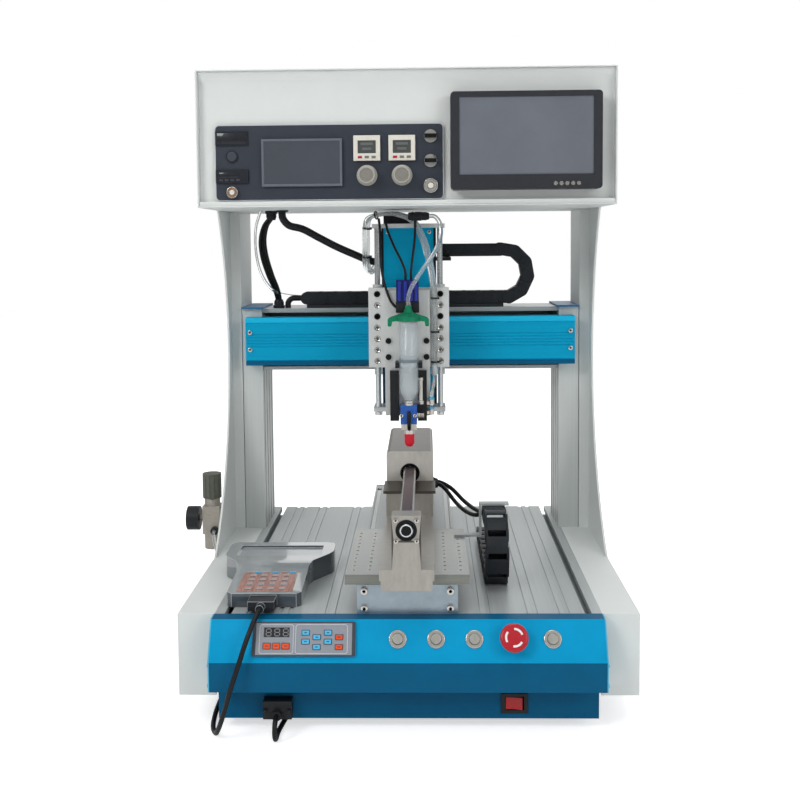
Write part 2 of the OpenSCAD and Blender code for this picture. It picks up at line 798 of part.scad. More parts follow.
module syringe() {
    color("#dfe5e6") translate([tip_x, tip_y, 0]) {
        rotate_extrude() polygon([[2, 345], [4.5, 345], [4.5, 356], [barrel_r - 3, 366], [barrel_r, 373],
            [barrel_r, 473], [barrel_r - 1.5, 473], [barrel_r - 1.5, 374], [barrel_r - 4, 368], [2, 359]]);
        rotate_extrude() polygon([[0, 398], [2, 398], [barrel_r - 2, 408], [barrel_r - 2, 420], [barrel_r - 4, 420],
            [barrel_r - 4, 410], [0, 404]]);
    }
}

module tip_cap() {
    color("#d81f35") {
        zcyl(7, 297, 310, tip_x, 2);
        translate([tip_x, 2, 292]) cylinder(r1 = 4, r2 = 7, h = 5);
    }
}

module tooling_plate() {
    color("#9ea09e") difference() {
        box(-plate_w / 2, plate_w / 2, tp_y0, tp_y1, tp_z - tp_t, tp_z);
        both_sides() for (x = [45, 64], k = [0 : 10])
            zcyl(2.1, tp_z - tp_t - 1, tp_z + 1, x, tp_y0 + 18 + 16 * k);
    }
}

module y_carriage() {
    color("#b0b4b5") {
        difference() {
            along_y(ycar_y0, ycar_y1) {
                translate([-36, bed_z + 13]) square([76, 17]);
                for (k = [-1, 1]) {
                    translate([k * (slot_x1 - 2 + 34) / 2 - (slot_x1 - 36) / 2, bed_z + 15])
                        square([slot_x1 - 36, ym_h - 20]);
                    translate([k * (slot_x0 + slot_x1 - 0.5) / 2 - (slot_x1 - slot_x0 - 3.5) / 2, ym_z - 6])
                        square([slot_x1 - slot_x0 - 3.5, tp_z - tp_t - ym_z + 6]);
                    translate([k * 15.5 - 4.5, bed_z + 3]) square([9, 11]);
                }
            }
            ycyl(screw_r + clear, ycar_y0 - 1, ycar_y1 + 1, ys_x, ys_z);
        }
        along_y(-100, -88) polygon([[60, tp_z], [ych_x0 - 1, tp_z], [ych_x0 - 1, ych_top], [ych_x1 + 5, ych_top],
            [ych_x1 + 5, ych_top + 3], [ych_x0 - 4, ych_top + 3], [ych_x0 - 4, tp_z + 3], [60, tp_z + 3]]);
    }
}

module headstock_2d() {
    translate([-head_hw, rb_z]) square([2 * head_hw, hs_top - rb_z - 6]);
    translate([-head_hw + 6, rb_z]) square([2 * head_hw - 12, hs_top - rb_z]);
    for (x = [-head_hw + 6, head_hw - 6]) translate([x, hs_top - 6]) circle(r = 6);
}

module rotary_frame() {
    color("#b9b8b3") {
        box(-head_hw + 1, head_hw - 1, tp_y0, hs_y1, tp_z, rb_z);
        difference() {
            union() {
                along_y(hs_y0, hs_y1) headstock_2d();
                box(-head_hw + 1.5, head_hw - 1.5, led_y, hs_y0, rb_z, led_z - 4);
                box(-head_hw - 2.5, head_hw + 2.5, led_y - 1, hs_y0, led_z - 4, led_z);
            }
            ycyl(11.5, hs_y0 - 1, hs_y0 + 60, 0, sp_z);
            box(-head_hw + 3, head_hw - 3, hs_y0 + 68, hs_y1 + 1, rb_z + 3, hs_top - 6);
        }
        box(-21, 21, hs_y0 + 68, hs_y0 + 118, sp_z - 21, sp_z + 21);
        difference() {
            along_y(tail_y0, tail_y1) {
                translate([-sq / 2, rb_z - 1]) square([sq, sp_z + sq / 2 - rb_z - 1]);
                translate([-sq / 2 + 2, rb_z]) square([sq - 4, sp_z + sq / 2 - rb_z]);
                for (x = [-sq / 2 + 2, sq / 2 - 2]) translate([x, sp_z + sq / 2 - 2]) circle(r = 2);
            }
            ycyl(8 + clear, tail_y0 - 1, tail_y1 + 1, 0, sp_z);
        }
        along_y(tail_y0, tp_y0) {
            translate([-head_hw + 1.5, tp_z]) square([2 * head_hw - 3, rb_t]);
            translate([-head_hw + 3.5, tp_z - tp_t + 4]) square([2 * head_hw - 7, tp_t - 3]);
            translate([-head_hw + 7.5, tp_z - tp_t]) square([2 * head_hw - 15, 5]);
            for (x = [-head_hw + 7.5, head_hw - 7.5]) translate([x, tp_z - tp_t + 4]) circle(r = 4);
        }
        for (x = [-sq / 2 + 5, sq / 2 - 5], z = [sp_z - sq / 2 + 5, sp_z + sq / 2 - 5])
            ycyl(2.5, tail_y0 - 2.5, tail_y0, x, z);
    }
}

module spindle() {
    b = bar_w / 2;
    c = b - 2;
    color("#6d6a66") {
        ycyl(8, tail_y0 - 2, tail_y1 + 1, 0, sp_z);
        translate([0, 0, sp_z]) along_y(tail_y1 + 1, hs_y0 + 5) polygon([[-b, c], [-c, b], [c, b], [b, c], [b, -c],
            [c, -b], [-c, -b], [-b, -c]]);
        ycyl(9, hs_y0 + 5, hs_y0 + 58, 0, sp_z);
    }
}

module chain_2d(x0, x1, bend, r, h) {
    translate([x0, -r - h / 2]) square([bend - x0, h]);
    translate([x1, r - h / 2]) square([bend - x1, h]);
    intersection() {
        translate([bend, 0]) difference() {
            circle(r = r + h / 2, $fn = 64);
            circle(r = r - h / 2, $fn = 64);
        }
        translate([bend, -2 * r]) square([4 * r, 4 * r]);
    }
}

module x_chain() {
    color("#2b3037") translate([0, 0, xch_z + ch_h / 2 + xch_r]) along_y(xch_y0, xch_y1)
        chain_2d(xch_x0, 50, xch_bend, xch_r, ch_h);
}

module y_chain() {
    color("#2b3037") mirror([0, 1, 0]) translate([0, 0, ych_z + ch_h / 2 + ych_r]) along_x(ych_x0, ych_x1)
        chain_2d(-ych_fix, -ych_mov, -ych_front, ych_r, ch_h);
}

module pendant() {
    function top(y) = bed_z + pd_edge + 5 * (y - pd_front) / 68;
    color("#5b6168") {
        difference() {
            intersection() {
                translate([0, 0, bed_z]) linear_extrude(height = pd_h + 1) polygon([[-234, -46], [-112, -46],
                    [-104, -50], [-101, -58], [-101, -88], [-106, -100], [-124, -128], [-129, -145],
                    [-129, pd_front + 6], [-135, pd_front], [-214, pd_front], [-220, pd_front + 6], [-220, -145],
                    [-225, -132], [-240, -112], [-244, -100], [-244, -58], [-241, -50]]);
                along_x(-260, -90) polygon([[pd_front - 1, bed_z - 1], [-40, bed_z - 1], [-40, bed_z + pd_h],
                    [-132, bed_z + pd_h], [pd_front + 68, top(pd_front + 68)], [pd_front - 1, top(pd_front - 1)]]);
            }
            box(-228, -117, -108, -62, bed_z + pd_h - 3, bed_z + pd_h + 1);
        }
        for (x = [-196, -182, -168, -154], k = [0 : 3])
            box(x - 4, x + 4, -217 + 14 * k, -209 + 14 * k, bed_z + 10, top(-213 + 14 * k) + 1);
        box(pd_x - 16, pd_x + 16, pd_front - 24, pd_front, bed_z + 3, bed_z + 15);
        ycyl(5, pd_front - 34, pd_front - 24, pd_x, bed_z + 9);
    }
}

cord_r = 3;
pend_route = [[pd_x, pd_front - 34, bed_z + 9], [pd_x - 0.5, pd_front - 42, bed_z + 8], [-178, -280, 142], [-182, -289, 132],
    [-187, -296, 118], [-192, -301, 102], [-198, -304, 84], [-204, -304, 66], [-210, -301, 46], [-216, -296, 28],
    [-222, -287, 13], [-227, -274, 4.6],
    [-233, -258, 3.1], [-238, -220, 3.1], [-240, -100, 3.1], [-240, 60, 3.1], [-240, 190, 3.1], [-234, 226, 3.1],
    [-214, 247, 3.1], [-186, 248, 3.1], [-160, 234, 3.1], [-148, 205, 3.1], [-146, 100, 3.1], [-146, -100, 3.1],
    [-148, -215, 3.1], [-152, -250, 3.1], [-154, -270, 3.1], [-154, -284, 3.1], [-154, -290, 4.7],
    [-154, -294.4, 9.1], [-154, -296, 15.1], [-154, -294.4, 21.1], [-154, -290, 25.5], [-154, -284, 27.1],
    [-154, chassis_front - 23, 27.1]];

module pendant_cord() {
    color("#1d1f22") tube(pend_route, cord_r, ref = [0.9, 0.1, 0.42]);
}

module looms() {
    lx = -fw + 73;
    px = -post_x0 + 24;
    function up(k) = post_top + k * head_room;
    color("#1d1f22") {
        tube([[lx, 60, enc_z], [lx, 60, up(0.94)], [lx - 9, 66, up(0.857)], [lx - 15, 80, up(0.72)],
            [lx - 15, 100, up(0.56)], [px - 9, 122, up(0.354)], [px - 2, 140, up(0.19)], [px, 150, up(0.08)],
            [px, 150, post_top]], 5, ref = [0, 1, 0.1]);
        tube([[px + 14, 152, post_top], [px + 14, 152, xch_z + 3], [px + 19, 152, xch_z + 9],
            [px + 30, 152, xch_z + 10], [xch_x0, 152, xch_z + 10]], 4.5);
        tube([[rg_x + 6, rg_y - 22, 135], [rg_x + 6, rg_y - 27, 135], [rg_x + 7, rg_y - 31, 126],
            [rg_x + 11, rg_y - 28, 106], [rg_x + 17, rg_y - 16, 96], [rg_x + 24, rg_y - 2, 101],
            [rg_x + 31, rg_y + 7, 109], [-fw, rg_y + 7, 109]], 2.5, ref = [0.4, 0.2, 1]);
    }
}

module head_loom() {
    hz = xch_low - 6;
    function up(k) = hz + k * (enc_z - hz);
    color("#1d1f22") tube([[-182, 56, enc_z], [-182, 56, up(0.87)], [-174, 58, up(0.724)], [-154, 62, up(0.645)],
        [-132, 68, up(0.487)], [-106, 75, up(0.303)], [-82, 80, up(0.158)], [-58, 81, up(0.026)], [-48, 81, hz],
        [-40, 81, hz]], 5.5);
}

module rotary_cables() {
    color("#1d1f22") {
        tube([[head_hw, 60, 224], [head_hw + 8, 60, 224], [50, 50, 220], [66, 20, 206], [80, -20, 203],
            [92, -55, 208], [104, -76, 219], [108, -88, 222], [108, ych_mov, 222]], 4, ref = [0.2, 0.1, 1]);
        tube([[head_hw, 76, 224], [head_hw + 8, 76, 224], [58, 66, 218], [78, 34, 205], [94, -10, 203],
            [106, -50, 209], [116, -76, 219], [118, -88, 222], [118, ych_mov, 222]], 4, ref = [0.2, 0.1, 1]);
    }
}

module head_hoses() {
    t = zf_z1;
    color("#dfe5e6") {
        tube([[-58, 63, t - 61], [-58, 63, t - 31], [-58.5, 62, t - 6], [-55.5, 58, t + 8], [-38, 52, t + 14.5],
            [-18, 45, t + 15], [4, 38, t + 6], [18, 32, t - 15], [28, 28, t - 46], [33, 25.5, t - 76],
            [34.5, 24.5, t - 101], [34.5, 24.5, 455], [34.5, 24.5, 405]], 4);
        tube([[30, 26, t + 10], [37, 26, t + 10], [45, 20, t], [46, 12, t - 18], [38, 4, t - 39], [26, -3, t - 57],
            [12, -7, t - 77], [3, -8, t - 93], [tip_x, tip_y, 502], [tip_x, tip_y, 492]], 3, ref = [0.3, 1, 0.2]);
        tube([[0, 8, 527], [0, 8, 538], [3, 14, t - 46], [8, 23, t - 21], [8, 26, t - 6], [8, 26, t + 3.4]], 2.5,
            ref = [1, 0, 0.1]);
        xcyl(6.5, 0, 30, 26, t + 10);
    }
}

chassis();
feet();
bed();
console();
keypad();
bezels();
button_1();
button_2();
button_3();
button_4();
estop_head();
front_ports();
rocker();
side_covers();
posts();
x_beam();
x_cover();
cover_screws();
rails();
x_screw();
axis_motors();
enclosure();
enclosure_panel();
control_plate();
panel_modules();
touch_screen();
fluid_knob();
valve_knob();
selector_1();
selector_2();
heat_button();
power_button();
monitor();
y_module();
y_screw();
regulator();
regulator_knob();
electronics();
x_carriage();
z_frame();
z_rods();
z_screw();
z_slider();
head_plate();
valve();
barrel_adapter();
syringe();
tip_cap();
tooling_plate();
y_carriage();
rotary_frame();
spindle();
x_chain();
y_chain();
pendant();
pendant_cord();
looms();
head_loom();
rotary_cables();
head_hoses();
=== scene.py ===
import math

import bmesh
import bpy
from mathutils import Matrix, Vector


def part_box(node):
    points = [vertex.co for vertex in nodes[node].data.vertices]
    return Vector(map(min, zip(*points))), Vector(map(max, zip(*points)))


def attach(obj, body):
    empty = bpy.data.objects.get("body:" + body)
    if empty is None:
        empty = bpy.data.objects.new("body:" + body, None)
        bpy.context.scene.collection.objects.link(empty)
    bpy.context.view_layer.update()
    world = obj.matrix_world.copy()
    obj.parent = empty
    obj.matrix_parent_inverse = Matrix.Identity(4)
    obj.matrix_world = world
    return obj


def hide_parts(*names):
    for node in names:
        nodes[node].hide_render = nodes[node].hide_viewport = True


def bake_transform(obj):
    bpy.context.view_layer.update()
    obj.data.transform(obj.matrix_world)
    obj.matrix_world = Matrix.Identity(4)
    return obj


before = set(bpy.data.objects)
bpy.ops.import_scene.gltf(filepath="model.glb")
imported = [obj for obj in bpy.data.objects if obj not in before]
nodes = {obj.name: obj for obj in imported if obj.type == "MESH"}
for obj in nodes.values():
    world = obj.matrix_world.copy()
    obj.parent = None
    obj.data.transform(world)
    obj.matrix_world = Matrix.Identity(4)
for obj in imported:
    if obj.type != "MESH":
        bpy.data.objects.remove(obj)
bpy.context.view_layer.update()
scene = bpy.context.scene
scene.view_settings.view_transform = "Standard"

# Camera: fitted to the straight edges of the covers, posts and cabinet in the photo.
# It looks at the front from a little above, and the frame is shifted down to take in the base.
yaw, pitch, roll = (math.radians(a) for a in (1.39, 4.22, -0.51))
level = Vector((math.cos(yaw), math.sin(yaw), 0))
ahead = Vector((-math.sin(yaw) * math.cos(pitch), math.cos(yaw) * math.cos(pitch), -math.sin(pitch)))
upright = level.cross(ahead)
across = math.cos(roll) * level + math.sin(roll) * upright
upward = -math.sin(roll) * level + math.cos(roll) * upright
camera = bpy.data.objects.new("camera", bpy.data.cameras.new("camera"))
scene.collection.objects.link(camera)
camera.data.sensor_width = 36
camera.data.lens = 47.78
camera.data.shift_y = -0.1
camera.data.clip_end = 20
eye = Matrix.Translation((0.0241, -1.4814, 0.5804))
camera.matrix_world = eye @ Matrix((across, upward, -ahead)).transposed().to_4x4()
scene.camera = camera


# Studio: a pale matt floor, soft lamps above the front and both sides, and a white surround.
# Every finish is a shader with noise in its colour, roughness and relief, at a size in millimetres.
# Grit and brushing that are too fine to show in a render are drawn coarser, from 0.4 mm and 1 mm up.
def linear(code):
    parts = [int(code[i:i + 2], 16) / 255 for i in (1, 3, 5)]
    return [c / 12.92 if c < 0.04045 else ((c + 0.055) / 1.055) ** 2.4 for c in parts] + [1]


def add(tree, kind, **values):
    node = tree.nodes.new(kind) if isinstance(kind, str) else kind
    for key, value in values.items():
        socket = node.inputs[key.replace("_", " ")]
        if isinstance(value, bpy.types.NodeSocket):
            tree.links.new(value, socket)
        else:
            socket.default_value = value
    return node


def skin(name, colour, rough, metal=0.0, grain=8.0, along=(1, 1, 1), vary=0.06, fine=1.0, relief=0.1, **sockets):
    material = bpy.data.materials.new(name)
    material.use_nodes = True
    tree = material.node_tree
    shader = tree.nodes["Principled BSDF"]
    place = tree.nodes.new("ShaderNodeTexCoord").outputs["Object"]
    broad = add(tree, "ShaderNodeMapping", Vector=place, Scale=[1000 / (grain * a) for a in along])
    cloud = add(tree, "ShaderNodeTexNoise", Vector=broad.outputs[0], Scale=1.0, Detail=4.0, Roughness=0.6)
    tone = add(tree, "ShaderNodeValToRGB", Fac=cloud.outputs["Fac"])
    base = linear(colour)[:3]
    for stop, place_on, shift in zip(tone.color_ramp.elements, (0.3, 0.7), (1 - vary, 1 + vary)):
        stop.position = place_on
        stop.color = [min(1, c * shift) for c in base] + [1]
    worn = add(tree, "ShaderNodeMapRange", Value=cloud.outputs["Fac"], To_Min=max(0.02, rough - 0.06),
               To_Max=min(1, rough + 0.06))
    close = add(tree, "ShaderNodeMapping", Vector=place, Scale=[1000 / (fine * a) for a in along])
    grit = add(tree, "ShaderNodeTexNoise", Vector=close.outputs[0], Scale=1.0, Detail=2.0)
    bump = add(tree, "ShaderNodeBump", Height=grit.outputs["Fac"], Strength=relief, Distance=0.0004)
    add(tree, shader, Base_Color=tone.outputs["Color"], Roughness=worn.outputs[0], Normal=bump.outputs[0],
        Metallic=metal, **{"Specular_IOR_Level": 0.25, **sockets})
    return material


def lamp(name, place, aim, size, power):
    lit = bpy.data.objects.new(name, bpy.data.lights.new(name, "AREA"))
    lit.data.energy = power
    lit.data.size = size
    lit.location = place
    lit.rotation_mode = "QUATERNION"
    lit.rotation_quaternion = (Vector(aim) - Vector(place)).to_track_quat("-Z", "Y")
    scene.collection.objects.link(lit)


lamp("left lamp", (-1.6, -2.0, 1.9), (0, 0, 0.35), 1.0, 27)
lamp("right lamp", (1.8, -1.9, 1.3), (0, 0, 0.35), 1.2, 15)
lamp("top lamp", (0, -0.3, 2.7), (0, 0, 0.2), 1.4, 15)
lamp("rear lamp", (0.4, 2.4, 1.5), (0, 0, 0.4), 2.0, 12)
surround = bpy.data.worlds.new("white surround")
surround.use_nodes = True
air = surround.node_tree
seen = air.nodes.new("ShaderNodeLightPath").outputs
direct = air.nodes.new("ShaderNodeMath")
direct.operation = "MAXIMUM"
air.links.new(seen["Is Camera Ray"], direct.inputs[0])
air.links.new(seen["Is Transmission Ray"], direct.inputs[1])
heading = air.nodes.new("ShaderNodeTexCoord").outputs["Generated"]
height = add(air, "ShaderNodeSeparateXYZ", Vector=heading).outputs["Z"]
dome = add(air, "ShaderNodeMapRange", Value=height, From_Min=-0.1, From_Max=0.9, To_Min=0.2, To_Max=0.6)
glow = add(air, "ShaderNodeMapRange", Value=direct.outputs[0], To_Min=dome.outputs[0], To_Max=1.0)
add(air, air.nodes["Background"], Color=(1, 1, 1, 1), Strength=glow.outputs[0])
scene.world = surround
sheet = bmesh.new()
bmesh.ops.create_grid(sheet, x_segments=2, y_segments=2, size=7)
floor = bpy.data.objects.new("floor", bpy.data.meshes.new("floor"))
sheet.to_mesh(floor.data)
sheet.free()
scene.collection.objects.link(floor)
matt_floor = skin("matt white floor", "#fbfbfb", 0.8, grain=400, vary=0.005, relief=0.0)
paint = matt_floor.node_tree
looked_at = paint.nodes.new("ShaderNodeLightPath").outputs["Is Camera Ray"]
lift = add(paint, "ShaderNodeMapRange", Value=looked_at, To_Min=0.0, To_Max=0.6)
add(paint, paint.nodes["Principled BSDF"], Emission_Color=(1, 1, 1, 1), Emission_Strength=lift.outputs[0])
floor.data.materials.append(matt_floor)


# Pendant lead: a 6 mm black PVC cable from the pendant's hood down over the console to the floor,
# back under the machine in one long loop, and up into the plug at the front of the chassis.
def smooth_line(points, step=0.004):
    knots = [Vector(p) / 1000 for p in points]
    knots = [2 * knots[0] - knots[1]] + knots + [2 * knots[-1] - knots[-2]]
    line = []
    for a, b, c, d in zip(knots, knots[1:], knots[2:], knots[3:]):
        ta, tb, tc = ((q - p).length ** 0.5 for p, q in ((a, b), (b, c), (c, d)))
        m = (c - b) + tb * ((b - a) / ta - (c - a) / (ta + tb))
        n = (c - b) + tb * ((d - c) / tc - (d - b) / (tb + tc))
        count = max(2, round((c - b).length / step))
        for k in range(count):
            t = k / count
            line.append((2 * t ** 3 - 3 * t * t + 1) * b + (t ** 3 - 2 * t * t + t) * m
                        + (3 * t * t - 2 * t ** 3) * c + (t ** 3 - t * t) * n)
    return line + [knots[-2]]


def hose(name, line, radius, material, body=None):
    curve = bpy.data.curves.new(name, "CURVE")
    curve.dimensions = "3D"
    curve.bevel_depth = radius / 1000
    curve.bevel_resolution = 3
    curve.use_fill_caps = True
    spline = curve.splines.new("POLY")
    spline.points.add(len(line) - 1)
    for spot, p in zip(spline.points, line):
        spot.co = (*p, 1)
    strand = bpy.data.objects.new(name + ".line", curve)
    tube = bpy.data.objects.new(name, bpy.data.meshes.new_from_object(strand))
    bpy.data.objects.remove(strand)
    tube.data.name = name
    tube.data.materials.clear()
    tube.data.materials.append(material)
    for face in tube.data.polygons:
        face.use_smooth = True
    scene.collection.objects.link(tube)
    if body:
        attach(tube, body)
    return tube


# PVC jacket: dull black, with a soft and slightly uneven sheen.
pvc_black = skin("black PVC cable jacket", "#17181b", 0.42, grain=5, vary=0.15, fine=0.5, relief=0.12)
on_floor = 3.1
lead_line = smooth_line([
    (-174.5, -262, 149), (-175, -270, 148), (-178, -280, 142), (-182, -289, 132), (-187, -296, 118),
    (-192, -301, 102), (-198, -304, 84), (-204, -304, 66), (-210, -301, 46), (-216, -296, 28), (-222, -287, 13),
    (-227, -274, 4.6), *((x, y, on_floor) for x, y in (
        (-233, -258), (-238, -220), (-240, -100), (-240, 60), (-240, 190), (-234, 226), (-214, 247), (-186, 248),
        (-160, 234), (-148, 205), (-146, 100), (-146, -100), (-148, -215), (-152, -250), (-154, -270), (-154, -284))),
    *((-154, y, z) for y, z in (
        (-290, 4.7), (-294.4, 9.1), (-296, 15.1), (-294.4, 21.1), (-290, 25.5), (-284, 27.1), (-280, 27.1)))])
lead = hose("pendant_lead", lead_line, 3, pvc_black)
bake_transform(lead)
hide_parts("pendant_cord")

# Cabinet looms: three black cables that drop from the cabinet's floor to the beam, and the
# short tail that leads into the X drag chain. Each end goes into a ribbed nylon gland.
loom_line = smooth_line([
    (-202, 84, 627), (-202, 84, 618.2), (-211, 88, 606), (-217, 95, 585.8), (-217, 107, 562.3), (-211, 124, 532),
    (-204, 140, 507.9), (-202, 150, 491.8), (-202, 150, 480)])
for number, (sx, sy) in enumerate(((-1.9, -1.1), (1.9, -1.1), (0, 2.2))):
    strand_line = [p + Vector((sx * (1 + 1.2 * math.sin(math.pi * k / len(loom_line))), sy, 0)) / 1000
                   for k, p in enumerate(loom_line)]
    loom = hose(f"beam_loom_{number + 1}", strand_line, 2.3, pvc_black, "machine")
    if number == 0:
        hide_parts("looms")
tail = [(-188, 152, 480), (-188, 152, 488), (-183, 152, 494), (-172, 152, 495), (-158, 152, 495)]
hose("chain_tail", smooth_line(tail), 4.5, pvc_black, "machine")


def new_piece(name, build, body, *materials, smooth=True, slot=None):
    bmesh.ops.remove_doubles(build, verts=build.verts, dist=1e-6)
    bmesh.ops.recalc_face_normals(build, faces=build.faces)
    made = bpy.data.objects.new(name, bpy.data.meshes.new(name))
    build.to_mesh(made.data)
    build.free()
    for material in materials:
        made.data.materials.append(material)
    for face in made.data.polygons:
        face.use_smooth = smooth
    if smooth:
        made.modifiers.new("facets", "EDGE_SPLIT").split_angle = math.radians(35)
    scene.collection.objects.link(made)
    if body:
        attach(made, body)
    return made


def turned(build, place, profile, steps=32, mark=0):
    rim = [build.verts.new((r / 1000, 0, z / 1000)) for r, z in profile]
    line = [build.edges.new(pair) for pair in zip(rim, rim[1:])]
    bmesh.ops.spin(build, geom=rim + line, cent=(0, 0, 0), axis=(0, 0, 1), angle=math.tau, steps=steps,
                   use_merge=True)
    whole, todo = set(), list(rim)
    while todo:
        v = todo.pop()
        if v not in whole:
            whole.add(v)
            todo += [e.other_vert(v) for e in v.link_edges]
    for face in {f for v in whole for f in v.link_faces}:
        face.material_index = mark
    bmesh.ops.transform(build, matrix=place, verts=list(whole))


def facing(x, y, z, turn=0, axis="X"):
    return Matrix.Translation((x / 1000, y / 1000, z / 1000)) @ Matrix.Rotation(math.radians(turn), 4, axis)


# Moulded nylon: dull black, with a fine spark texture.
nylon = skin("black moulded nylon", "#1d1f22", 0.5, grain=4, vary=0.12, fine=0.4, relief=0.2)
glands = bmesh.new()
gland = [(0, 0), (9, 0), (9, -4), (7.6, -4.6), (7.6, -9), (6, -13), (5.2, -13.4), (0, -13.4)]
turned(glands, facing(-202, 84, 627), gland, 12)
turned(glands, facing(-182, 56, 627), [(0, 0), (9, 0), (9, -1.6), (7.4, -2.7), (0, -2.9)], 12)
turned(glands, facing(-202, 150, 480.05, 180), gland, 12)
new_piece("loom_glands", glands, "machine", nylon, smooth=False, slot="black_plastic")

# Air tube: a clear 5 mm polyurethane hose from the regulator's push-in fitting into the left cover.
# It hangs in a small loop under its own weight. A second clear tube bows from the cabinet to the X chain.
# Polyurethane: clear and smooth, with bright edges.
clear_tube = skin("clear polyurethane tube", "#f4f7f7", 0.08, grain=20, vary=0.02, relief=0.01,
                  Transmission_Weight=0.85, IOR=1.4, Specular_IOR_Level=0.6)
air_line = smooth_line([
    (-306, 128, 135), (-306, 123, 135), (-305, 119, 126), (-301, 122, 106), (-295, 134, 96), (-288, 148, 101),
    (-281, 157, 109), (-275, 157, 109)])
air_tube = hose("regulator_tube", air_line, 2.5, clear_tube, "machine")
bow = [(-214, 62, 627), (-222, 66, 604), (-225, 80, 568), (-221, 108, 532), (-208, 134, 508), (-190, 150, 500),
       (-165, 153, 497)]
hose("cabinet_tube", smooth_line(bow), 2, clear_tube, "machine")

# Head loom: a black sleeve that swings from the cabinet's floor to the back of the Z frame.
# On the machine its cabinet end stays put and its other end follows the X carriage; here it is one fixed shape.
head_line = smooth_line([
    (-182, 56, 627), (-182, 56, 617.1), (-174, 58, 606), (-154, 62, 600), (-132, 68, 588), (-106, 75, 574),
    (-82, 80, 563), (-58, 81, 553), (-48, 81, 551), (-40, 81, 551)])
head_sleeve = hose("head_sleeve", head_line, 5.5, pvc_black)
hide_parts("head_loom")
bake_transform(head_sleeve)

# Rotary cables: two 6 mm black cables from the headstock's side to the Y drag chain.
# They lie in one sag over the tooling plate, with moulded bushes at the headstock.
rotary_lines = [smooth_line(p) for p in (
    [(33.5, 60, 224), (41.5, 60, 224), (50, 50, 220), (66, 20, 206), (80, -20, 203), (92, -55, 208), (104, -76, 219),
     (108, -88, 222), (108, -95, 222)],
    [(33.5, 76, 224), (41.5, 76, 224), (58, 66, 218), (78, 34, 205), (94, -10, 203), (106, -50, 209), (116, -76, 219),
     (118, -88, 222), (118, -95, 222)])]
for number, line in enumerate(rotary_lines):
    cable = hose(f"rotary_cable_{number + 1}", line, 3, pvc_black, "y_axis")
    if number == 0:
        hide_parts("rotary_cables")
bushes = bmesh.new()
for y in (60, 76):
    turned(bushes, facing(33.6, y, 224, 90, "Y"), [(0, 7), (4.6, 7), (6.2, 1.6), (7, 1.6), (7, 0), (0, 0)], 20)
new_piece("cable_bushes", bushes, "y_axis", nylon, slot="black_plastic")


# Chassis and feet: a folded steel tray in deep blue powder coat on four drilled rubber feet.
# CAD solids keep their shape; they are welded, their edges are broken, and each face gets its finish.
def dress(node, base, *rules, edge=0.5):
    shape = nodes[node]
    mesh = shape.data
    mesh.materials.clear()
    for material in (base, *(r[0] for r in rules)):
        mesh.materials.append(material)
    for face in mesh.polygons:
        face.material_index = 0
        face.use_smooth = True
        for i, (_, accepts) in enumerate(rules):
            if accepts(face.center * 1000, face.normal):
                face.material_index = i + 1
    shape.modifiers.new("weld", "WELD").merge_threshold = 0.00001
    flat = shape.modifiers.new("flat", "DECIMATE")
    flat.decimate_type = "DISSOLVE"
    flat.angle_limit = math.radians(1)
    flat.delimit = {"MATERIAL"}
    if edge:
        soft = shape.modifiers.new("broken edges", "BEVEL")
        soft.width = edge / 1000
        soft.segments = 2
        soft.limit_method = "ANGLE"
        soft.angle_limit = math.radians(40)
    shape.modifiers.new("even shading", "WEIGHTED_NORMAL").weight = 80


# Powder coat: satin, with a fine orange peel. Moulded rubber: dull and slightly mottled.
deep_blue_coat_and_shade = skin("deep blue powder coat", "#06587e", 0.4, grain=30, vary=0.05, fine=0.7, Specular_IOR_Level=0.1)
rubber_black = skin("moulded black rubber", "#1c1d1f", 0.65, vary=0.12, fine=0.6, relief=0.2)
dress("chassis", deep_blue_coat_and_shade, edge=0.6)
dress("feet", rubber_black, edge=0.8)

# Bed: an extruded aluminium table, clear anodised, with two T-slots and shallow grooves.
# Drawing lines run from front to back.
# Anodised extrusion: satin, with fine lines along it. The slot floors are duller and painted darker, as shade in the
# slots.
bed_alloy = skin("anodised extrusion", "#b4b9b9", 0.4, 0.35, grain=3, along=(1, 60, 1), vary=0.05, relief=0.06)
slot_shade = skin("grey slot floor", "#9aa0a1", 0.6, 0.2, grain=3, along=(1, 40, 1), vary=0.1)
dress("bed", bed_alloy, (slot_shade, lambda c, n: 125 < c.z < 137 and 205 < abs(c.x) < 223), edge=0.3)

# Side covers: folded steel sheet in white powder coat, with the curved window cut in the outer panel.
# Folds are rounded by 1 mm, and the coat has a fine orange peel.
white_coat = skin("white powder coat", "#dadedc", 0.45, grain=40, vary=0.015, fine=0.8, relief=0.12)
dress("side_covers", white_coat, edge=1.0)

# Console housing: a blue extrusion with a slanted face and thin bright end plates.
# The slant gets a lighter copy of the coat as painted light, lighter than the faces that turn down from it.
# The coat is satin with a fine orange peel, and the end plates have a faint metallic sheen.
# A lighter copy of the blue coat: painted light on the slanted face.
lit_blue_coat = skin("blue powder coat", "#0796c8", 0.36, grain=30, vary=0.04, fine=0.7, relief=0.08,
                 Specular_IOR_Level=0.1)
end_blue = skin("light blue end plate", "#5fb6d6", 0.4, 0.3, vary=0.05)
dress("console", deep_blue_coat_and_shade, (lit_blue_coat, lambda c, n: n.y < -0.7 and n.z > 0.3),
      (end_blue, lambda c, n: abs(c.x) > 230.02), edge=0.8)

# Keypad: a grey film key field with darker ends, a dark display window and raised keys.
# It is set in the slanted face; places on it are given from the slant's lower edge.
slant = facing(0, -291, 96, 63.435)
field = slant @ facing(-120, 26.6, 0)
to_field = field.inverted()
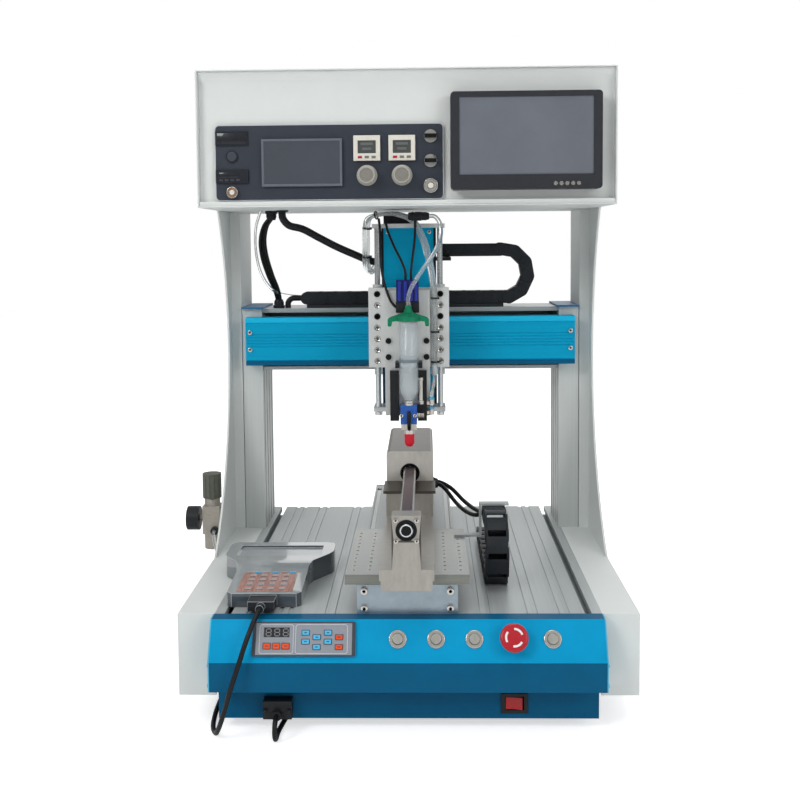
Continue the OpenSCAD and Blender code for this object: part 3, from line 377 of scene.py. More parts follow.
# Printed film: matt, with a fine grain. Keys: smooth and clear in colour. Window: dark gloss.
film_grey = skin("grey key film", "#8d929a", 0.45, grain=6, vary=0.04, fine=0.5)
film_dark = skin("dark key film", "#3f444d", 0.42, grain=6, fine=0.5, relief=0.08)
key_orange = skin("orange key", "#e4532b", 0.35)
key_sky = skin("light blue key", "#52b6e2", 0.35)
glass_black = skin("dark display window", "#202328", 0.28, grain=20, relief=0.01, Coat_Weight=0.6)


def on_field(c):
    return to_field @ (c / 1000) * 1000


dress("keypad", film_grey,
      (glass_black, lambda c, n: -48 < on_field(c).x < -16 and 1.9 < on_field(c).z < 2.1),
      (key_orange, lambda c, n: on_field(c).z > 3.01 and (on_field(c).x < -10 or on_field(c).x > 36)),
      (key_sky, lambda c, n: on_field(c).z > 3.01 and -10 < on_field(c).x < 36))


def slab(build, place, low, high=None, edge=0.5, mark=0):
    if high is None:
        low, high = (-low[0], -low[1], 0), low
    size = [(b - a) / 1000 for a, b in zip(low, high)]
    middle = [(a + b) / 2000 for a, b in zip(low, high)]
    block = Matrix.Translation(middle) @ Matrix.Diagonal((*size, 1))
    made = bmesh.ops.create_cube(build, size=1, matrix=block)["verts"]
    if edge:
        rim = list({e for v in made for e in v.link_edges})
        made = bmesh.ops.bevel(build, geom=rim, offset=edge / 1000, segments=2, profile=0.5, affect="EDGES",
                               material=-1)["verts"]
    for face in {f for v in made for f in v.link_faces}:
        face.material_index = mark
    bmesh.ops.transform(build, matrix=place, verts=list(made))


def rounded_frame(build, place, wide, high, radius, line, thick, mark=0):
    loops = []
    for inset, z in ((0, 0), (0, thick), (line, thick), (line, 0)):
        a, b, r = wide / 2 - radius, high / 2 - radius, radius - inset
        loops.append([])
        for sx, sy, quarter in ((1, 1, 0), (-1, 1, 1), (-1, -1, 2), (1, -1, 3)):
            for t in (math.pi / 2 * (quarter + k / 4) for k in range(5)):
                spot = (sx * a + r * math.cos(t)) / 1000, (sy * b + r * math.sin(t)) / 1000, z / 1000
                loops[-1].append(build.verts.new(place @ Vector(spot)))
    for p, q in zip(loops, loops[1:] + loops[:1]):
        for k in range(len(p)):
            build.faces.new((p[k - 1], p[k], q[k], q[k - 1])).material_index = mark


key_marks = bmesh.new()
rounded_frame(key_marks, field @ facing(0, 0, 3), 120, 39, 3, 1.6, 0.3)
rounded_frame(key_marks, field @ facing(-32, 0, 3), 40, 33, 3, 0.7, 0.25, mark=2)
rounded_frame(key_marks, field @ facing(20.5, 0, 3), 61, 33, 3, 0.7, 0.25, mark=2)
for side in (-1, 1):
    slab(key_marks, field @ facing(58 * side, 0, 3.0), (2, 19, 0.35), edge=0.1)
for x in (-41.5, -31.5, -21.5):
    for y in (3.6, 7.5, 11.4):
        slab(key_marks, field @ facing(x, y, 2.0), (2.2, 0.45, 0.25), edge=0, mark=1)
    for dx in (-2.8, 2.8):
        for y in (5.55, 9.45):
            slab(key_marks, field @ facing(x + dx, y, 2.0), (0.45, 1.4, 0.25), edge=0, mark=1)
for x, y in ((-43, -8), (-32, -8), (-21, -8), (2, 7), (28, 7), (15, 2), (2, -3), (28, -3), (15, -9), (41, 2),
             (41, -9)):
    slab(key_marks, field @ facing(x, y, 3.8), (1.6, 0.5, 0.15), edge=0)
    rounded_frame(key_marks, field @ facing(x, y, 3), 9.6, 7.4 if x < -10 and y < -5 else 6.4, 1, 0.7, 0.5)
digit_grey = skin("unlit display segments", "#8b8d8d", 0.4, vary=0.05)
pale_print_and_highlight = skin("pale key outline", "#c4c8cd", 0.45, vary=0.03)
new_piece("key_marks", key_marks, "machine", film_dark, digit_grey, pale_print_and_highlight, smooth=False, slot="keypad_grey")

# Push buttons: nickel rings with satin flat caps, screwed into the slanted face.
# The stop head is moulded red plastic with three white turn marks.
# Nickel plate: bright and smooth. Satin caps: fine lines. Red plastic: smooth, with a soft gloss.
nickel = skin("bright nickel plate", "#d3d0c9", 0.2, 0.9, grain=5, vary=0.05, relief=0.02)
satin_cap = skin("satin nickel cap", "#b7b6b0", 0.38, 0.8, grain=1, along=(1, 10, 10), vary=0.1, relief=0.05)
stop_red = skin("red moulded plastic", "#b3202c", 0.32, grain=10, vary=0.05, relief=0.04, Coat_Weight=0.3)
print_white = skin("white print", "#e6e6e3", 0.5, vary=0.03, relief=0.02)
dress("bezels", nickel)
for number in (1, 2, 3, 4):
    dress(f"button_{number}", satin_cap, edge=0.7)
dress("estop_head", stop_red, edge=0.6)
arcs = bmesh.new()
for turn in (20, 140, 260):
    begin = Matrix.Rotation(math.radians(turn), 4, "Z")
    rim = [arcs.verts.new(begin @ Vector((r / 1000, 0, z / 1000))) for r, z in
           ((8.4, 18.25), (8.4, 18.62), (10.8, 18.44), (10.8, 18.05))]
    end = bmesh.ops.contextual_create(arcs, geom=rim)["faces"]
    bmesh.ops.spin(arcs, geom=rim + list(end[0].edges) + list(end), cent=(0, 0, 0), axis=(0, 0, 1),
                   angle=math.radians(70), steps=10)
bmesh.ops.transform(arcs, matrix=slant @ facing(123, 26.6, 0), verts=arcs.verts)
new_piece("stop_marks", arcs, "estop_head", print_white, smooth=False, slot="white_painted")

# Rocker, its frame and the serial port plug: moulded plastic, snapped into the chassis front.
# The plug is a black hood with two knurled screws and a ribbed relief.
# Rocker lens: glossy red. Hood: dull black, with a fine spark texture.
rocker_red = skin("red rocker lens", "#b5181c", 0.25, vary=0.08, relief=0.03, Coat_Weight=0.4)
hood_black = skin("black hood plastic", "#232528", 0.45, grain=4, vary=0.1, fine=0.4, relief=0.2)
dress("front_ports", hood_black, edge=1.0)
dress("rocker", rocker_red, edge=0.6)
port_bits = bmesh.new()
for x in (-168, -140):
    turned(port_bits, facing(x, -272, 31, 90),
           [(0, 4.5), (1.8, 4.5), (2.3, 4), (2.3, 0), (1.2, 0), (1.2, -4), (0, -4)], 16)
for y in (-279, -276.5, -274):
    turned(port_bits, facing(-154, y, 27.1, 90), [(4.9, -0.6), (5.8, -0.6), (5.8, 0.6), (4.9, 0.6), (4.9, -0.6)], 20)
new_piece("port_screws", port_bits, "machine", hood_black, slot="black_plastic")

# Gantry posts and beam: clear anodised profiles, with blue caps on the posts and a dark chain tray.
# The beam's front cover: blue anodised, fine ribs, a painted light top band and a painted shade lower front.
# Anodised profiles: satin, with fine lines along their length. The dyed blue keeps a metallic depth.
post_alloy = skin("anodised post profile", "#cdd2d0", 0.42, 0.3, grain=3, along=(1, 1, 60), vary=0.03, relief=0.05)
beam_alloy = skin("anodised beam profile", "#b6bbbb", 0.4, 0.4, grain=3, along=(60, 1, 1), vary=0.05, relief=0.05)
cap_black = skin("black end cap", "#2a2d30", 0.5, vary=0.1, fine=0.5, relief=0.15)
blue_anodised = skin("blue anodised cover", "#06a0cb", 0.34, 0.15, grain=4, along=(80, 1, 1), vary=0.05, relief=0.05,
                     Specular_IOR_Level=0.1)
lit_blue_band = skin("painted lit band of blue cover", "#12bbe6", 0.32, 0.15, grain=4, along=(80, 1, 1), vary=0.04,
                  relief=0.05)
cap_blue = skin("blue end cap", "#2b6a92", 0.4, relief=0.08)
dress("posts", post_alloy, (cap_blue, lambda c, n: c.z > 480.02), edge=0.4)
dress("x_beam", beam_alloy, (cap_black, lambda c, n: c.z > 480.5))
# Top band of the front: painted light. Lower front: painted shade in the deep blue coat.
dress("x_cover", blue_anodised, (lit_blue_band, lambda c, n: c.y < 106 and c.z > 459),
      (deep_blue_coat_and_shade, lambda c, n: c.y < 106 and c.z < 403), edge=0.3)
dress("cover_screws", nickel)


def socket_screw(build, place, radius, height, mark=0, hollow=0):
    rings = []
    for r, z, count in ((radius, 0, 24), (radius, height * 0.86, 24), (radius * 0.88, height, 24),
                        (radius * 0.52, height, 6), (radius * 0.5, height * 0.35, 6)):
        rings.append(bmesh.ops.create_circle(build, segments=count, radius=r / 1000,
                                             matrix=Matrix.Translation((0, 0, z / 1000)))["verts"])
    loops = [list({e for v in ring for e in v.link_edges}) for ring in rings]
    for a, b in zip(loops, loops[1:]):
        for face in bmesh.ops.bridge_loops(build, edges=a + b)["faces"]:
            face.material_index = mark
    for loop, paint in ((loops[0], mark), (loops[-1], hollow)):
        for face in bmesh.ops.contextual_create(build, geom=loop)["faces"]:
            face.material_index = paint
    bmesh.ops.transform(build, matrix=place, verts=[v for ring in rings for v in ring])


# Black oxide: dark, with a faint oily sheen.
steel_black = skin("black oxide steel", "#1b1c1e", 0.4, 0.5, grain=2, vary=0.15, relief=0.08)
screw_heads = bmesh.new()
for x in (-240, 240):
    for z in (420, 446):
        socket_screw(screw_heads, facing(x, 102, z, 90), 3.1, 1.2, hollow=1)
for x in (-51, 51):
    for z in (169, 148):
        socket_screw(screw_heads, facing(x, -256, z, 90), 4.1, 1.2, hollow=1)
new_piece("cover_screw_heads", screw_heads, "machine", nickel, steel_black, slot="steel")

# Overhead cabinet: a folded sheet box in white powder coat with a bent front panel inside its rim.
# The dark control plate, two gauges and the screens are set in that panel.
dress("enclosure", white_coat, edge=1.0)
dress("enclosure_panel", white_coat, edge=0.6)
# Films: matt and even. Screens: dark, with a soft gloss. Ivory cases: smooth moulded plastic.
panel_film = skin("charcoal panel film", "#363b45", 0.45, grain=10, vary=0.04, relief=0.06)
screen_grey = skin("grey screen film", "#6b7079", 0.25, grain=80, relief=0.01, Coat_Weight=0.4)
bezel_grey = skin("grey screen frame", "#646972", 0.4, vary=0.04)
hmi_grey = skin("dark touch panel film", "#4a4e56", 0.25, grain=60, relief=0.01, Coat_Weight=0.4)
ivory = skin("ivory gauge case", "#dcd9cf", 0.42, vary=0.03, relief=0.08)
panel_trim = skin("black panel insert", "#22262d", 0.4, relief=0.06)
lcd = skin("grey green gauge display", "#4d514f", 0.25, grain=20, relief=0.01)
dress("control_plate", panel_film)
dress("touch_screen", bezel_grey, (hmi_grey, lambda c, n: n.y < -0.9 and -80.2 < c.y < -79.8))
dress("panel_modules", panel_trim, (ivory, lambda c, n: c.x > -75 and c.y < -76),
      (lcd, lambda c, n: c.x > -75 and n.y < -0.9 and -80.2 < c.y < -79.8), edge=0.6)
olive_key = skin("olive gauge key", "#77776a", 0.45)
gauge_keys = bmesh.new()
fluid_x, valve_x = -51.5, -5.5
for x in (fluid_x, valve_x):
    for dx, mark in ((-9, 0), (0, 1), (9, 1)):
        slab(gauge_keys, facing(x + dx, -81, 691.2, 90), (-2.8, -1.6, -0.4), (2.8, 1.6, 0.9), mark=mark)
    for row, wide in ((708.5, 8), (702, 6)):
        slab(gauge_keys, facing(x, -80, row, 90), (wide, 1.6, 0.25), edge=0.1, mark=2)
dim_grey = skin("dim gauge segments", "#646866", 0.4, vary=0.05)
new_piece("gauge_keys", gauge_keys, "machine", stop_red, olive_key, dim_grey, slot="olive_plastic")
plate_low, plate_high = (corner * 1000 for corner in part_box("control_plate"))
plate_middle, plate_size = (plate_low + plate_high) / 2, plate_high - plate_low
# A thin pale rim round the plate's edge: a painted highlight on that edge.
plate_edge_highlight = bmesh.new()
rounded_frame(plate_edge_highlight, facing(plate_middle.x, plate_low.y, plate_middle.z, 90), plate_size.x, plate_size.z,
              6, 0.9, 0.15)
new_piece("control_plate_rim", plate_edge_highlight, "machine", pale_print_and_highlight, smooth=False, slot="black_plastic")
windows = bmesh.new()
slab(windows, facing(-229.5, -78, 717.5, 90), (19, 7, 0.5), edge=0.2)
slab(windows, facing(-231.5, -79, 669.5, 90), (-15, -3.6, 0), (11, 3.6, 0.4), edge=0.2)
for k in range(4):
    slab(windows, facing(-244 + 7.5 * k, -79, 663, 90), (2.4, 1.3, 0.7), edge=0.3, mark=1)
turned(windows, facing(-229.5, -78, 694, 90), [(0, 0.9), (5.6, 0.9), (6.4, 0.3), (6.4, 0), (0, 0)], 28, mark=1)
new_piece("panel_windows", windows, "machine", glass_black, film_dark, slot="black_plastic")

# Pressure knobs: warm grey moulded knobs with flutes and a turned insert in the face.
# Each sits on the control plate below its gauge.
# Moulded knob: warm grey and dull. Insert: fine turning marks.
knob_grey = skin("warm grey moulded knob", "#a9a79e", 0.45, grain=6, vary=0.05, relief=0.12)
insert_grey = skin("turned grey insert", "#8d8b84", 0.4, 0.3, grain=2, vary=0.08)
for name, x in (("fluid_knob", fluid_x), ("valve_knob", valve_x)):
    dress(name, knob_grey)
    insert = bmesh.new()
    turned(insert, facing(x, -96, 667.5, 90),
           [(0, 0.5), (5.2, 0.5), (5.6, 0.15), (7.4, 0.15), (7.8, 0.5), (8.8, 0.5), (9.2, 0), (0, 0)])
    new_piece(name + "_insert", insert, name, insert_grey, slot="knob_grey")

# Selectors and push buttons of the control plate: plated brass collars with nickel levers whose sides are painted
# black as shade, a copper coloured heating switch, and a larger bright power button.
# Copper plate: warm and bright.
copper = skin("copper plated ring", "#b98a6a", 0.3, 0.8, vary=0.08)
# The levers' front faces are nickel; their sides are black oxide, as painted shade.
for name in ("selector_1", "selector_2"):
    dress(name, satin_cap, (nickel, lambda c, n: c.y < -79.05 and n.y < -0.9),
          (steel_black, lambda c, n: c.y < -79.05), edge=0.8)
for name, x, z, rings in (
        ("heat_button", -229.5, 647, ((4.4, 6.3, copper), (0, 3.2, ivory))),
        ("power_button", 32, 653.5, ((5.2, 7.6, satin_cap), (0, 3.6, ivory)))):
    dress(name, nickel, edge=0.6)
    faces = bmesh.new()
    for mark, (inner, outer, _) in enumerate(rings):
        ring = [(inner, 0), (inner, 0.5), (outer - 0.3, 0.5), (outer, 0.2), (outer, 0), (inner, 0)]
        turned(faces, facing(x, -81.9, z, 90), ring[1:] if inner == 0 else ring, 32, mark)
    new_piece(name + "_face", faces, name, *(r[2] for r in rings), slot="nickel")

# Monitor: a black moulded frame with a grey screen and a row of small plated keys below it.
# A thin grey rim runs round the screen.
# Moulded frame: black, with a fine spark texture.
frame_black = skin("black moulded frame", "#303237", 0.42, grain=6, fine=0.4, relief=0.18)
dress("monitor", frame_black, (screen_grey, lambda c, n: n.y < -0.9 and -93 < c.y < -92),
      (nickel, lambda c, n: c.y < -94.1 and c.z < 660), edge=1.2)
screen_rim = bmesh.new()
rounded_frame(screen_rim, facing(156, -92.5, 716, 90), 173.6, 99.6, 1.5, 0.9, 0.4)
new_piece("screen_rim", screen_rim, "machine", bezel_grey, smooth=False, slot="black_plastic")

# Rear: plated cap screws hold the cabinet's back.
# The chassis has a black moulded mains inlet with two pins and an earth pin, held by two screws.
rear = bmesh.new()
for x in (-262, -88, 88, 262):
    for z in (640, 793):
        socket_screw(rear, facing(x, 230, z, -90), 3.4, 1.8, hollow=1)
slab(rear, facing(-150, 250, 62, -90), (25, 14, 2), edge=0.8, mark=2)
slab(rear, facing(-150, 252, 62, -90), (12.5, 8.5, 0.5), edge=0.2, mark=1)
for x, y in ((-7, -2.5), (7, -2.5), (0, 3)):
    slab(rear, facing(-150 + x, 252.4, 62 + y, -90), (1, 2, 0.8), edge=0.2)
for x in (-170, -130):
    socket_screw(rear, facing(x, 252, 62, -90), 2.4, 1.2, hollow=1)
new_piece("rear_fittings", rear, "machine", nickel, steel_black, hood_black, slot="steel")

# Parts inside: rails, lead screws, motors and the electronics boxes, mostly hidden by covers.
# Ground and rolled steel, black motor cases and zinc plated sheet.
# Ground steel: bright lines along the rail. Thread: broken glints. Zinc: a pale spangle.
ground_steel = skin("ground steel", "#cfd2d3", 0.24, 0.9, grain=2, along=(20, 1, 1), vary=0.05, relief=0.03)
thread_steel = skin("rolled steel thread", "#b4b8ba", 0.3, 0.85, grain=1.5, vary=0.12, fine=1.2, relief=0.4)
box_zinc = skin("zinc plated sheet", "#a9b0b4", 0.4, 0.6, grain=14, vary=0.1)
dress("rails", ground_steel, edge=0.4)
for name in ("x_screw", "y_screw", "z_screw"):
    dress(name, thread_steel, edge=0.3)
dress("axis_motors", hood_black, edge=1.0)
dress("electronics", box_zinc, edge=0.8)

# X carriage and Z frame: blasted alloy arms, a black back plate, a blue anodised cover and a motor.
# Two ground rods run between the end plates.
# Blasted alloy: an even matt grey with a fine grain. Ground rod: bright, with lines along it.
blasted = skin("blasted anodised alloy", "#d3d6d5", 0.48, 0.3, grain=3, vary=0.03, fine=0.4, relief=0.12)
rod_steel = skin("ground guide rod", "#d2d5d6", 0.2, 0.9, grain=2, along=(1, 1, 20), vary=0.05, relief=0.03)
dress("x_carriage", blasted)
dress("z_frame", hood_black,
      (blue_anodised, lambda c, n: 56.5 < c.y < 60.5 and abs(c.x) < 36.5 and 341 < c.z < 606.5),
      (blasted, lambda c, n: c.y < 84.1 and (c.z < 341.1 or 599.5 < c.z < 606.1)), edge=0.6)
dress("z_rods", rod_steel, edge=0.6)
z_screws = bmesh.new()
for x in (-30, 30):
    for z in (594, 347):
        socket_screw(z_screws, facing(x, 57, z, 90), 2.6, 1.2, hollow=1)
new_piece("z_cover_screws", z_screws, "x_axis", nickel, steel_black, slot="steel")

# Slide plate and tool plate: blasted alloy with counterbored holes in two columns.
# Black cap screws sit in the first and third holes, and the rest show bright threads in grey rims.
dress("z_slider", blasted, edge=0.7)
dress("head_plate", blasted, (steel_black, lambda c, n: c.y < 19.9), edge=0.6)
# The counterbores are milled; their rims are painted a darker grey, as the shade that lies in them.
painted_bore_shade = skin("shaded counterbore rim", "#77797a", 0.5, grain=2, relief=0.03)
slide_screws = bmesh.new()
for x in (-45, 45):
    for k in range(7):
        if k in (6, 4):
            socket_screw(slide_screws, facing(x, 33, 410 + 16 * k, 90), 4.3, 4.4)
        else:
            hole = facing(x, 34, 410 + 16 * k, 90)
            turned(slide_screws, hole, [(2.25, 0), (2.25, 0.6), (3, 1.2), (3.8, 1.4), (3.8, 0), (2.25, 0)], 24,
                   mark=1)
            turned(slide_screws, hole, [(3.8, 0), (3.8, 1.4), (4.5, 1.4), (4.5, 0), (3.8, 0)], 24, mark=2)
for x, z in ((-29, 440), (-29, 417), (25, 440), (25, 417)):
    socket_screw(slide_screws, facing(x, 17.2, z, 90), 4.2, 0.9)
new_piece("slide_screws", slide_screws, "z_axis", steel_black, nickel, painted_bore_shade, slot="steel")

# Valve: black backing blocks, a deep blue ribbed coil, a blue valve block and plated nozzle parts.
# Two cap screws hold the block, and a short black tube feeds the nozzle.
# Coil moulding: deep blue, with a soft sheen; its ribs are a lighter copy, as painted light. Valve block: brighter
# blue gloss.
coil_blue = skin("deep blue coil moulding", "#141d5a", 0.35, grain=6, vary=0.08, relief=0.08)
lit_coil_rib = skin("painted lit coil rib", "#27369a", 0.3, grain=6, vary=0.08, relief=0.05)
valve_blue = skin("blue valve block", "#1f58ad", 0.28, grain=6, vary=0.08, relief=0.05, Coat_Weight=0.3)
dress("valve", hood_black, (coil_blue, lambda c, n: c.z > 496.2),
      (valve_blue, lambda c, n: 326.1 < c.z < 352.2 and abs(c.x) < 12.2),
      (nickel, lambda c, n: c.z < 326.2 and abs(c.x) < 12.2), edge=0.9)
valve_bits = bmesh.new()
for x in (-12.5, -4.2, 4.2, 11):
    slab(valve_bits, facing(x, -1, 512, 90), (-2, -14, -0.2), (2, 13, 1.6), edge=0.6)
for x in (-10.5, 8):
    socket_screw(valve_bits, facing(x, -15, 338, 90), 2.4, 1.4, mark=1, hollow=2)
for z in (332, 346):
    slab(valve_bits, facing(0, -15, z, 90), (-11.6, -0.5, -0.2), (10.6, 0.5, 0.4), edge=0.15, mark=3)
for x, y, z, turn, size in ((16.5, 3, 352, 0, 38), (11, 2, 336, 90, 10)):
    turned(valve_bits, facing(x, y, z, turn, "Y"),
           [(0, 0), (4.2, 0), (4.2, 5), (3, 5.4), (3, size - 5), (3.8, size - 4.6), (3.8, size - 0.6), (3.2, size),
            (0, size)], 12, mark=1)
barrel_y = -8
turned(valve_bits, facing(0, barrel_y, 352.2),
       [(4.9, 0), (6.4, 0), (6.4, 2.6), (5.6, 3.4), (5.6, 6), (4.9, 6.6), (4.9, 0)], 24, mark=1)
new_piece("valve_details", valve_bits, "z_axis", lit_coil_rib, nickel, steel_black, valve_blue, slot="valve_blue")
feed = [(0, -15.4, 343), (0, -17.6, 340), (0, -18, 334), (0, -17, 326), (0, -12, 320), (0, -7.6, 318)]
hose("feed_tube", smooth_line(feed), 2.6, pvc_black, "z_axis")

# Syringe: a translucent moulded barrel with a white piston, a green bayonet adapter on top,
# a grey ring in a black clip, and a red tip cap.
# Polypropylene: milky and smooth. Nylon adapter: green, with a soft sheen. Cap: soft red.
barrel_clear = skin("translucent polypropylene", "#d3dde2", 0.14, grain=30, vary=0.02, relief=0.01, Alpha=0.26,
                    Specular_IOR_Level=0.7, Coat_Weight=0.5)
piston_white = skin("white piston", "#bcc7cd", 0.45, vary=0.03)
green_nylon = skin("green moulded nylon", "#0f7a57", 0.38, grain=6, relief=0.08)
cap_red = skin("red tip cap", "#d81f35", 0.36, vary=0.05, relief=0.05)
ring_grey = skin("grey barrel ring", "#77838b", 0.35, vary=0.05)
dress("syringe", barrel_clear,
      (piston_white, lambda c, n: 397.5 < c.z < 420.5 and math.hypot(c.x, c.y - barrel_y) < 11.8), edge=0)
adapter = bmesh.new()
turned(adapter, facing(0, barrel_y, 0), [
    (0, 492), (3.6, 492), (4.5, 491.4), (4.5, 487), (6, 486), (6.2, 482), (9, 480.4), (14, 478.4), (16.8, 475.6),
    (17.2, 470.6), (16.6, 470), (0, 470)], 48)
for side in (-1, 1):
    stations = [(4, 470.4, 484), (9, 470.4, 481), (17, 470.4, 478.4), (22.4, 469.6, 476.9), (23.6, 463.8, 476.5),
                (24.6, 463, 476.1), (27.6, 463, 474.6), (28.8, 464, 472.4)]
    grid = [[[adapter.verts.new((side * x / 1000, y, z / 1000)) for z in (low, high)] for x, low, high in stations]
            for y in (-0.0135, -0.0025)]
    for near, far in zip(range(len(stations) - 1), range(1, len(stations))):
        for row in grid:
            adapter.faces.new((row[near][0], row[far][0], row[far][1], row[near][1]))
        for k in (0, 1):
            adapter.faces.new((grid[0][near][k], grid[0][far][k], grid[1][far][k], grid[1][near][k]))
    for k in (0, -1):
        adapter.faces.new((grid[0][k][0], grid[0][k][1], grid[1][k][1], grid[1][k][0]))
    wing = {v for row in grid for pair in row for v in pair}
    rim = [e for v in wing for e in v.link_edges if e.calc_face_angle(0) > 0.7]
    bmesh.ops.bevel(adapter, geom=list(set(rim)), offset=0.001, segments=2, profile=0.5, affect="EDGES", material=-1)
adapter_piece = new_piece("bayonet_adapter", adapter, "z_axis", green_nylon, slot="green_plastic")
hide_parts("barrel_adapter")
dress("tip_cap", cap_red, edge=0.6)
collar = bmesh.new()
turned(collar, facing(0, barrel_y, 413), [(13.6, 0), (14.1, 0.4), (14.1, 3.6), (13.6, 4), (13.6, 0)], 40)
new_piece("barrel_ring", collar, "z_axis", ring_grey, slot="black_plastic")


# Head hoses: clear tubes tied in a bundle that climbs the left of the Z frame and crosses to the slide,
# one clear hose to the barrel, black wires to the coil, and a black inline connector.
def beside(line, x, y, z, narrow=1.0):
    step = (1 - narrow) / (len(line) - 1)
    return [p + Vector((x, y, z)) * (1 - step * k) / 1000 for k, p in enumerate(line)]


rise = smooth_line([(-46, 80, 548), (-54, 78, 536), (-61, 71, 545), (-61, 63, 575), (-60.5, 61, 600),
                    (-56.5, 57, 614), (-38, 51, 620), (-18, 45, 620.5)])
fall = smooth_line([(-18, 45, 620.5), (4, 38, 612), (18, 32, 591), (28, 28, 560), (34, 25.5, 530), (36.5, 24.5, 505),
                    (36.5, 24.5, 455), (36, 24.5, 405)])
offsets = (-3.6, -2.6, 0.4), (0, -4.2, -1.2), (3.2, -2.2, 1.2), (-2.4, 2.2, -1.4), (2.2, 2.6, 0.8)
for number, offset in enumerate(offsets):
    hose(f"bundle_left_{number + 1}", beside(rise, *offset), 2, clear_tube, "x_axis")
    right = hose(f"bundle_right_{number + 1}", beside(fall, *offset, narrow=0.55), 2, clear_tube)
    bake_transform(right)
    if number == 0:
        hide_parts("head_hoses")
barrel_line = smooth_line([(30, 26, 616), (37, 26, 616), (45, 20, 606), (46, 12, 588), (38, 4, 567), (26, -3, 549),
                           (12, -7, 529), (3, -8, 513), (0, -8, 502), (0, -8, 492)])
barrel_hose = hose("barrel_hose", barrel_line, 3, clear_tube)
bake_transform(barrel_hose)
for number, (path, end) in enumerate((
        ([(-4, 8, 526), (-4, 8, 538), (-9, 13, 552), (-20, 24, 574), (-29, 34, 596), (-33, 43, 613)], 0.527),
        ([(4, 8, 526), (4, 8, 538), (6, 14, 556), (9, 22, 580), (10, 25, 598), (10, 26, 612)], 0.527),
        ([(-17.5, 12, 488), (-24, 13, 495), (-31, 16, 512), (-37, 23, 535), (-39, 27, 560), (-40, 33, 596),
          (-42, 43, 613)], 0.49))):
    wire = hose(f"head_wire_{number + 1}", smooth_line(path), 1.8, pvc_black)
    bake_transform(wire)
inline = bmesh.new()
turned(inline, facing(0, 26, 616, 90, "Y"), [
    (0, 0), (4, 0), (5.6, 1.5), (5.6, 5), (6.4, 5.5), (6.4, 8), (5.6, 8.4), (5.6, 9.6), (6.4, 10), (6.4, 19),
    (5.8, 19.6), (5.8, 25), (4.6, 30), (0, 30)], 24)
new_piece("inline_connector", inline, "x_axis", nylon, slot="black_plastic")


def tie(build, place, r):
    turned(build, place, [(r, -1.1), (r + 0.6, -1.1), (r + 0.6, 1.1), (r, 1.1), (r, -1.1)], 24)
    slab(build, place, (r - 0.2, -1.6, -1.6), (r + 2.6, 1.6, 1.6), edge=0.4)


ties = bmesh.new()
for share in (0.32, 0.62, 0.8):
    i = int(share * (len(rise) - 1))
    heading = (rise[i + 1] - rise[i - 1]).to_track_quat("Z", "Y")
    tie(ties, Matrix.Translation(rise[i]) @ heading.to_matrix().to_4x4(), 5.6)
new_piece("bundle_ties", ties, "x_axis", nylon, slot="black_plastic")
low_ties = bmesh.new()
for z in (500, 452, 409):
    tie(low_ties, facing(36.4, 24.5, z), 4.6)
new_piece("lower_ties", low_ties, "z_axis", nylon, slot="black_plastic")
fittings = bmesh.new()
turned(fittings, facing(36, 24.5, 390), [(0, 17), (3.6, 17), (3.6, 11), (4.8, 10), (4.8, 3), (3, 0), (0, 0)], 24)
for z, y in ((352, 13), (338, 15)):
    turned(fittings, facing(25, y, z, 90, "Y"), [(0, 0), (4.5, 0), (4.5, 3), (3.4, 3.6), (3.4, 6), (0, 6)], 6, mark=1)
    turned(fittings, facing(31.4, y, z), [(0, -3), (4, -3), (4, 5), (3.2, 5.6), (0, 5.6)], 20, mark=1)
    turned(fittings, facing(31.4, y, z + 5.6), [(2.6, 0), (4.4, 0), (4.4, 2), (2.6, 2), (2.6, 0)], 20, mark=2)
new_piece("hose_fittings", fittings, "z_axis", piston_white, nickel, key_sky, slot="nickel")
for number, (y, z) in enumerate(((13, 357), (15, 343))):
    drop = [(36, 24.5, 392), (36, 24.5, 386), (35 - number, 21, 375), (32, y + 1, z + 10), (31.4, y, z)]
    hose(f"fitting_tube_{number + 1}", smooth_line(drop), 2, clear_tube, "z_axis")

# Y axis module: a long anodised housing with a zinc plated end plate, and the carriage in its slots.
# A thin bright strip closes each slot, and the carriage runs over it.
# Zinc plate: bluish, with a faint spangle. Module cover: satin, with lines along the travel.
zinc = skin("bright zinc plate", "#a0adb6", 0.32, 0.7, grain=14, vary=0.1, relief=0.05)
module_grey = skin("anodised module cover", "#aeb3b3", 0.42, 0.35, grain=3, along=(1, 60, 1), vary=0.05, relief=0.05)
# The hollow module's inside faces take the white coat: painted light in its dark slots.
dress("y_module", module_grey, (zinc, lambda c, n: c.y < -249.5),
      (white_coat, lambda c, n: abs(c.x) < 59 and c.z < 174.5 and -249 < c.y < 249), edge=0.4)
dress("y_carriage", blasted, (module_grey, lambda c, n: c.x > 59), edge=0.4)
strips = bmesh.new()
for side in (-1, 1):
    slab(strips, facing(side * 53.5, 0, 173.4), (3.2, 234.6, 0.6), edge=0.1)
new_piece("slot_strips", strips, "machine", blasted, smooth=False, slot="steel")

# Tooling plate: a milled alloy plate with sawn edges, bolted to the Y carriage.
# It has four rows of tapped holes with bright thread rims.
# Milled face: fine bright cutter lines. Sawn edge: duller, and painted darker as shade on the sides.
milled = skin("milled alloy plate", "#a4a6a3", 0.34, 0.6, grain=2.4, along=(30, 1, 1), vary=0.07, relief=0.06)
shaded_plate_side = skin("sawn plate edge", "#83857f", 0.45, 0.4, grain=2, along=(20, 20, 1), vary=0.1)
dress("tooling_plate", milled, (shaded_plate_side, lambda c, n: max(abs(n.x), abs(n.y)) > 0.9 and c.z < 189), edge=1.2)
rims = bmesh.new()
for x in (-64, -45, 45, 64):
    for k in range(11):
        turned(rims, facing(x, -241 + 16 * k, 190), [(2.0, -1), (2.0, 0.05), (2.5, 0.05), (2.6, -0.2), (2.0, -1)], 12)
new_piece("thread_rims", rims, "y_axis", nickel, smooth=False, slot="machined")
